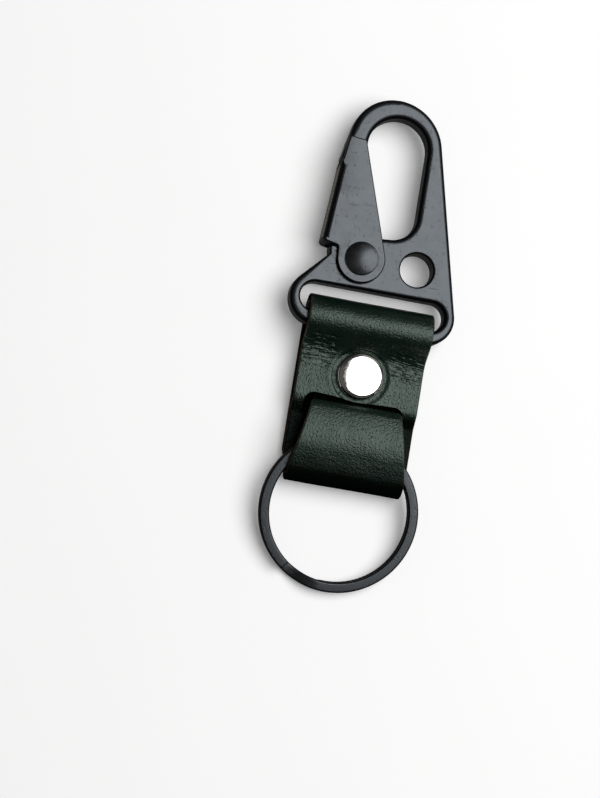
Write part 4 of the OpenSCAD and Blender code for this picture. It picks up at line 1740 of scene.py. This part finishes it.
    def cut_edge(self, places: np.ndarray, normals: np.ndarray) -> np.ndarray:
        """Share of a cut edge: where the surface looks sideways, or stands upright inside the mouth.

        Args:
            places: Places in millimetres.
            normals: Their normals.

        Returns:
            The share at each place.
        """
        x, y, z = places.T
        inside = (np.abs(x) < self.mouth_left + self.cut_margin) & (y > self.cut_y[0]) & (y < self.cut_y[1])
        inside &= (z > self.cut_z[0]) & (z < self.cut_z[1])
        sideways = smooth(np.abs(normals[:, 0]), *self.cut_sideways)
        return np.maximum(sideways, inside * smooth(-normals[:, 1], *self.cut_upright))

    def painted_tongue_shade(self, places: np.ndarray, normals: np.ndarray) -> np.ndarray:
        """Share of painted shade on the rear part: the tongue's end in the gap under the panel, the fold's
        front that looks down, and the flesh side.

        Args:
            places: Places in millimetres.
            normals: Their normals.

        Returns:
            The share at each place.
        """
        start = self.plunge_y + self.thickness / 2
        hidden = smooth(places[:, 1], start + self.hidden_run[0], start + self.hidden_run[1])
        hidden *= 1 - smooth(places[:, 2], *self.hidden_z)
        hidden *= np.abs(places[:, 0]) < self.mouth_half
        fold = smooth(-places[:, 1], *self.front_y) * smooth(normals[:, 2], *self.front_up)
        return np.maximum(np.maximum(hidden, fold), self.flesh(places, normals))

    def painted_panel_shade(self, places: np.ndarray, normals: np.ndarray) -> np.ndarray:
        """Share of painted shade on the front part: the panel's end beside and under the tongue, and the
        flesh side.
        """
        panel_shade = self.panel_shade * smooth(-places[:, 1], *self.panel_shade_y) * smooth(places[:, 2], *self.panel_shade_z)
        return np.maximum(panel_shade, self.flesh(places, normals))

    def flesh(self, places: np.ndarray, normals: np.ndarray) -> np.ndarray:
        """Share of the back layer's flesh side, which looks up at the layers over it: it has no wax, and is
        painted near black as shade.
        """
        return smooth(normals[:, 2], *self.flesh_up) * (places[:, 2] < self.thickness + self.flesh_gap)

    def worn_corner(self, places: np.ndarray, normals: np.ndarray) -> np.ndarray:
        """Share of pale threads: a bell round the worn corner beside the mouth, on the strip's upper side."""
        off = (places[:, :2] - self.worn_middle) / self.worn_size
        return np.exp(-(off[:, 0] ** 2 + off[:, 1] ** 2)) * smooth(places[:, 2], *self.worn_z)

    def build(self, material: bpy.types.Material, bore: Shell) -> bpy.types.Object:
        """Builds and dresses the strap.

        Args:
            material: The leather.
            bore: The space that the rivet takes.

        Returns:
            The finished piece.
        """
        line = self.path()
        at = self.stations(line)
        rounded = self.edge_r * (1 - np.cos(np.linspace(0.0, np.pi / 2, self.end_points)))[:-1]
        stops = [self.corner_r, at["mouth"], at["loop"], at["loop_end"], at["join"]]
        front = np.concatenate([rounded, even_ways(self.edge_r, stops, self.front_steps), [at["join"]]])
        stops = [at["fold"], at["fold_top"], at["under"], at["end"] - self.edge_r]
        rear = np.concatenate([even_ways(at["join"], stops, self.rear_steps), at["end"] - rounded[::-1]])
        obj = place(self.ribbon(line, front, at, (True, False)).mesh("strap_front"), "strap_leather")
        carve(obj, self.mouth())
        carve(obj, bore)
        tail = place(self.ribbon(line, rear, at, (False, True)).mesh("strap_rear"), "strap_rear")
        carve(tail, bore)
        paint(obj.data, "dull", self.painted_panel_shade)
        paint(tail.data, "dull", self.painted_tongue_shade)
        join_meshes(obj, tail, (self.join_y - MID_Y) * METRE)
        paint(obj.data, "cut", self.cut_edge)
        paint(obj.data, "worn", self.worn_corner)
        finish_piece(obj, Body.STRAP, "leather_strap", material, sharp=50.0)
        return obj


# The studio


@dataclass(frozen=True)
class Lamp:
    """A round area lamp that shines at the clip. Its distance and size are metres, its power is watts."""

    name: str
    towards: tuple[float, float, float]
    distance: float
    size: float
    power: float
    tone: str = WHITE

    def build(self) -> None:
        """Adds the lamp to the scene, turned to the clip."""
        lamp = bpy.data.lights.new(self.name, "AREA")
        lamp.shape = "DISK"
        lamp.size = self.size
        lamp.energy = self.power
        lamp.color = colour(self.tone)[:3]
        obj = bpy.data.objects.new(self.name, lamp)
        way = Vector(self.towards).normalized()
        turn = way.to_track_quat("Z", "Y").to_matrix().to_4x4()
        obj.matrix_world = Matrix.Translation(way * self.distance) @ turn
        bpy.context.scene.collection.objects.link(obj)


@dataclass
class Studio:
    """Pale floor, a round softbox, a weak brown card on the left, a dim room and the camera.

    The floor's half side and gap are metres, and its grain is millimetres. The camera's place is millimetres
    from the frame's origin, its clipping distances are metres.
    """

    floor_colour: str = "#fafafa"
    floor_shade: str = "#f7f7f7"
    floor_grain: float = 60.0
    floor_roughness: float = 0.9
    floor_level: float = 0.2
    floor_lift: float = 0.19
    floor_half: float = 4.0
    floor_gap: float = 2e-5
    softbox: Lamp = Lamp("softbox", (0.46, 0.19, 1.0), 0.95, 0.968, 9.5)
    card: Lamp = Lamp("card", (-0.68, -0.05, 1.0), 1.1, 1.2, 0.8, "#958f8a")
    room: str = "#404040"
    camera_place: tuple[float, float, float] = (-63.6524, -58.4261, 400.0)
    camera_right: tuple[float, float, float] = (0.97589066, 0.16062677, 0.14777163)
    camera_up: tuple[float, float, float] = (-0.17487597, 0.980557, 0.08903012)
    camera_back: tuple[float, float, float] = (-0.13059789, -0.11272537, 0.98500618)
    lens: float = 91.0237522
    sensor: float = 36.0
    clipping: tuple[float, float] = (0.01, 100.0)

    def build(self) -> None:
        """Builds the floor, the lamps, the room's light and the camera."""
        self.build_floor()
        self.softbox.build()
        self.card.build()
        self.build_room()
        self.build_camera()

    def build_floor(self) -> None:
        """A matt white table top just under the clip. What sees it, the camera or a mirror, sees it paler."""
        half, z = self.floor_half, -self.floor_gap
        corners = [(-half, -half, z), (half, -half, z), (half, half, z), (-half, half, z)]
        mesh = bpy.data.meshes.new("floor")
        mesh.from_pydata(corners, [], [(0, 1, 2, 3)])
        floor = place(mesh, "floor")
        material, tree, shader, place_of = blank("matt_white_table")
        where = {"Vector": place_of}
        grain = add_node(tree, Kind.NOISE, {"Scale": per_metre(self.floor_grain), "Detail": 2.0}, where)
        tones = {"data_type": "RGBA", 6: colour(self.floor_colour), 7: colour(self.floor_shade)}
        shade = add_node(tree, Kind.MIX, tones, {0: grain.outputs[0]})
        tree.links.new(shade.outputs[2], shader.inputs["Base Color"])
        shader.inputs["Roughness"].default_value = self.floor_roughness
        shader.inputs["Specular IOR Level"].default_value = self.floor_level
        ray = add_node(tree, Kind.RAY).outputs
        seen = add_node(tree, Kind.MATH, {"operation": "MAXIMUM"},
                        {0: ray["Is Camera Ray"], 1: ray["Is Glossy Ray"]})
        lift = add_node(tree, Kind.RANGE, {4: self.floor_lift}, {0: seen.outputs[0]})
        tree.links.new(lift.outputs[0], shader.inputs["Emission Strength"])
        shader.inputs["Emission Color"].default_value = colour(WHITE)
        mesh.materials.append(material)

    def build_room(self) -> None:
        """The dim light that comes from all sides."""
        world = bpy.data.worlds.new("room")
        world.use_nodes = True
        tree = world.node_tree
        tree.nodes.clear()
        room = add_node(tree, Kind.BACKGROUND, {"Color": colour(self.room), "Strength": 1.0})
        add_node(tree, Kind.WORLD, links={"Surface": room.outputs[0]})
        bpy.context.scene.world = world

    def build_camera(self) -> None:
        """The camera, placed and turned by the script, with a long lens and no shift."""
        data = bpy.data.cameras.new("camera")
        data.sensor_fit = "AUTO"
        data.sensor_width = self.sensor
        data.lens = self.lens
        data.clip_start, data.clip_end = self.clipping
        camera = bpy.data.objects.new("camera", data)
        turn = Matrix((self.camera_right, self.camera_up, self.camera_back)).transposed()
        camera.matrix_world = Matrix.Translation(Vector(self.camera_place) * METRE) @ turn.to_4x4()
        bpy.context.scene.collection.objects.link(camera)
        bpy.context.scene.camera = camera
        bpy.context.scene.view_settings.view_transform = "Standard"


def main() -> None:
    """Loads the frame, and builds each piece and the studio."""
    logging.basicConfig(level=logging.INFO, format="%(name)s: %(message)s")
    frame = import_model()
    HookFrame().build(Enamel("black_electrocoat_on_zinc").make())
    SnapGate().build(Enamel("black_electrocoat_on_steel_sheet").make())
    PivotRivet().build(Enamel("black_electrocoat_on_rivet", roughness=(0.24, 0.36), pit_size=0.5).make())
    rivet = StrapRivet()
    LeatherStrap().build(DyedLeather("green_waxed_cowhide").make(), rivet.bore())
    rivet.build_cap(Nickel("polished_nickel").make())
    rivet.build_post(Nickel("plain_nickel", roughness=(0.2, 0.34)).make())
    SplitRing().build(Enamel("black_nickel_on_flat_wire", level=0.64, roughness=(0.24, 0.32)).make())
    spring = frame["nodes"]["gate_spring"]
    spring.data.materials.clear()
    spring.data.materials.append(SpringSteel("drawn_spring_steel").make())
    LOG.info("%s keeps its CAD shape", spring.name)
    Studio().build()


if __name__ == "__main__":
    main()
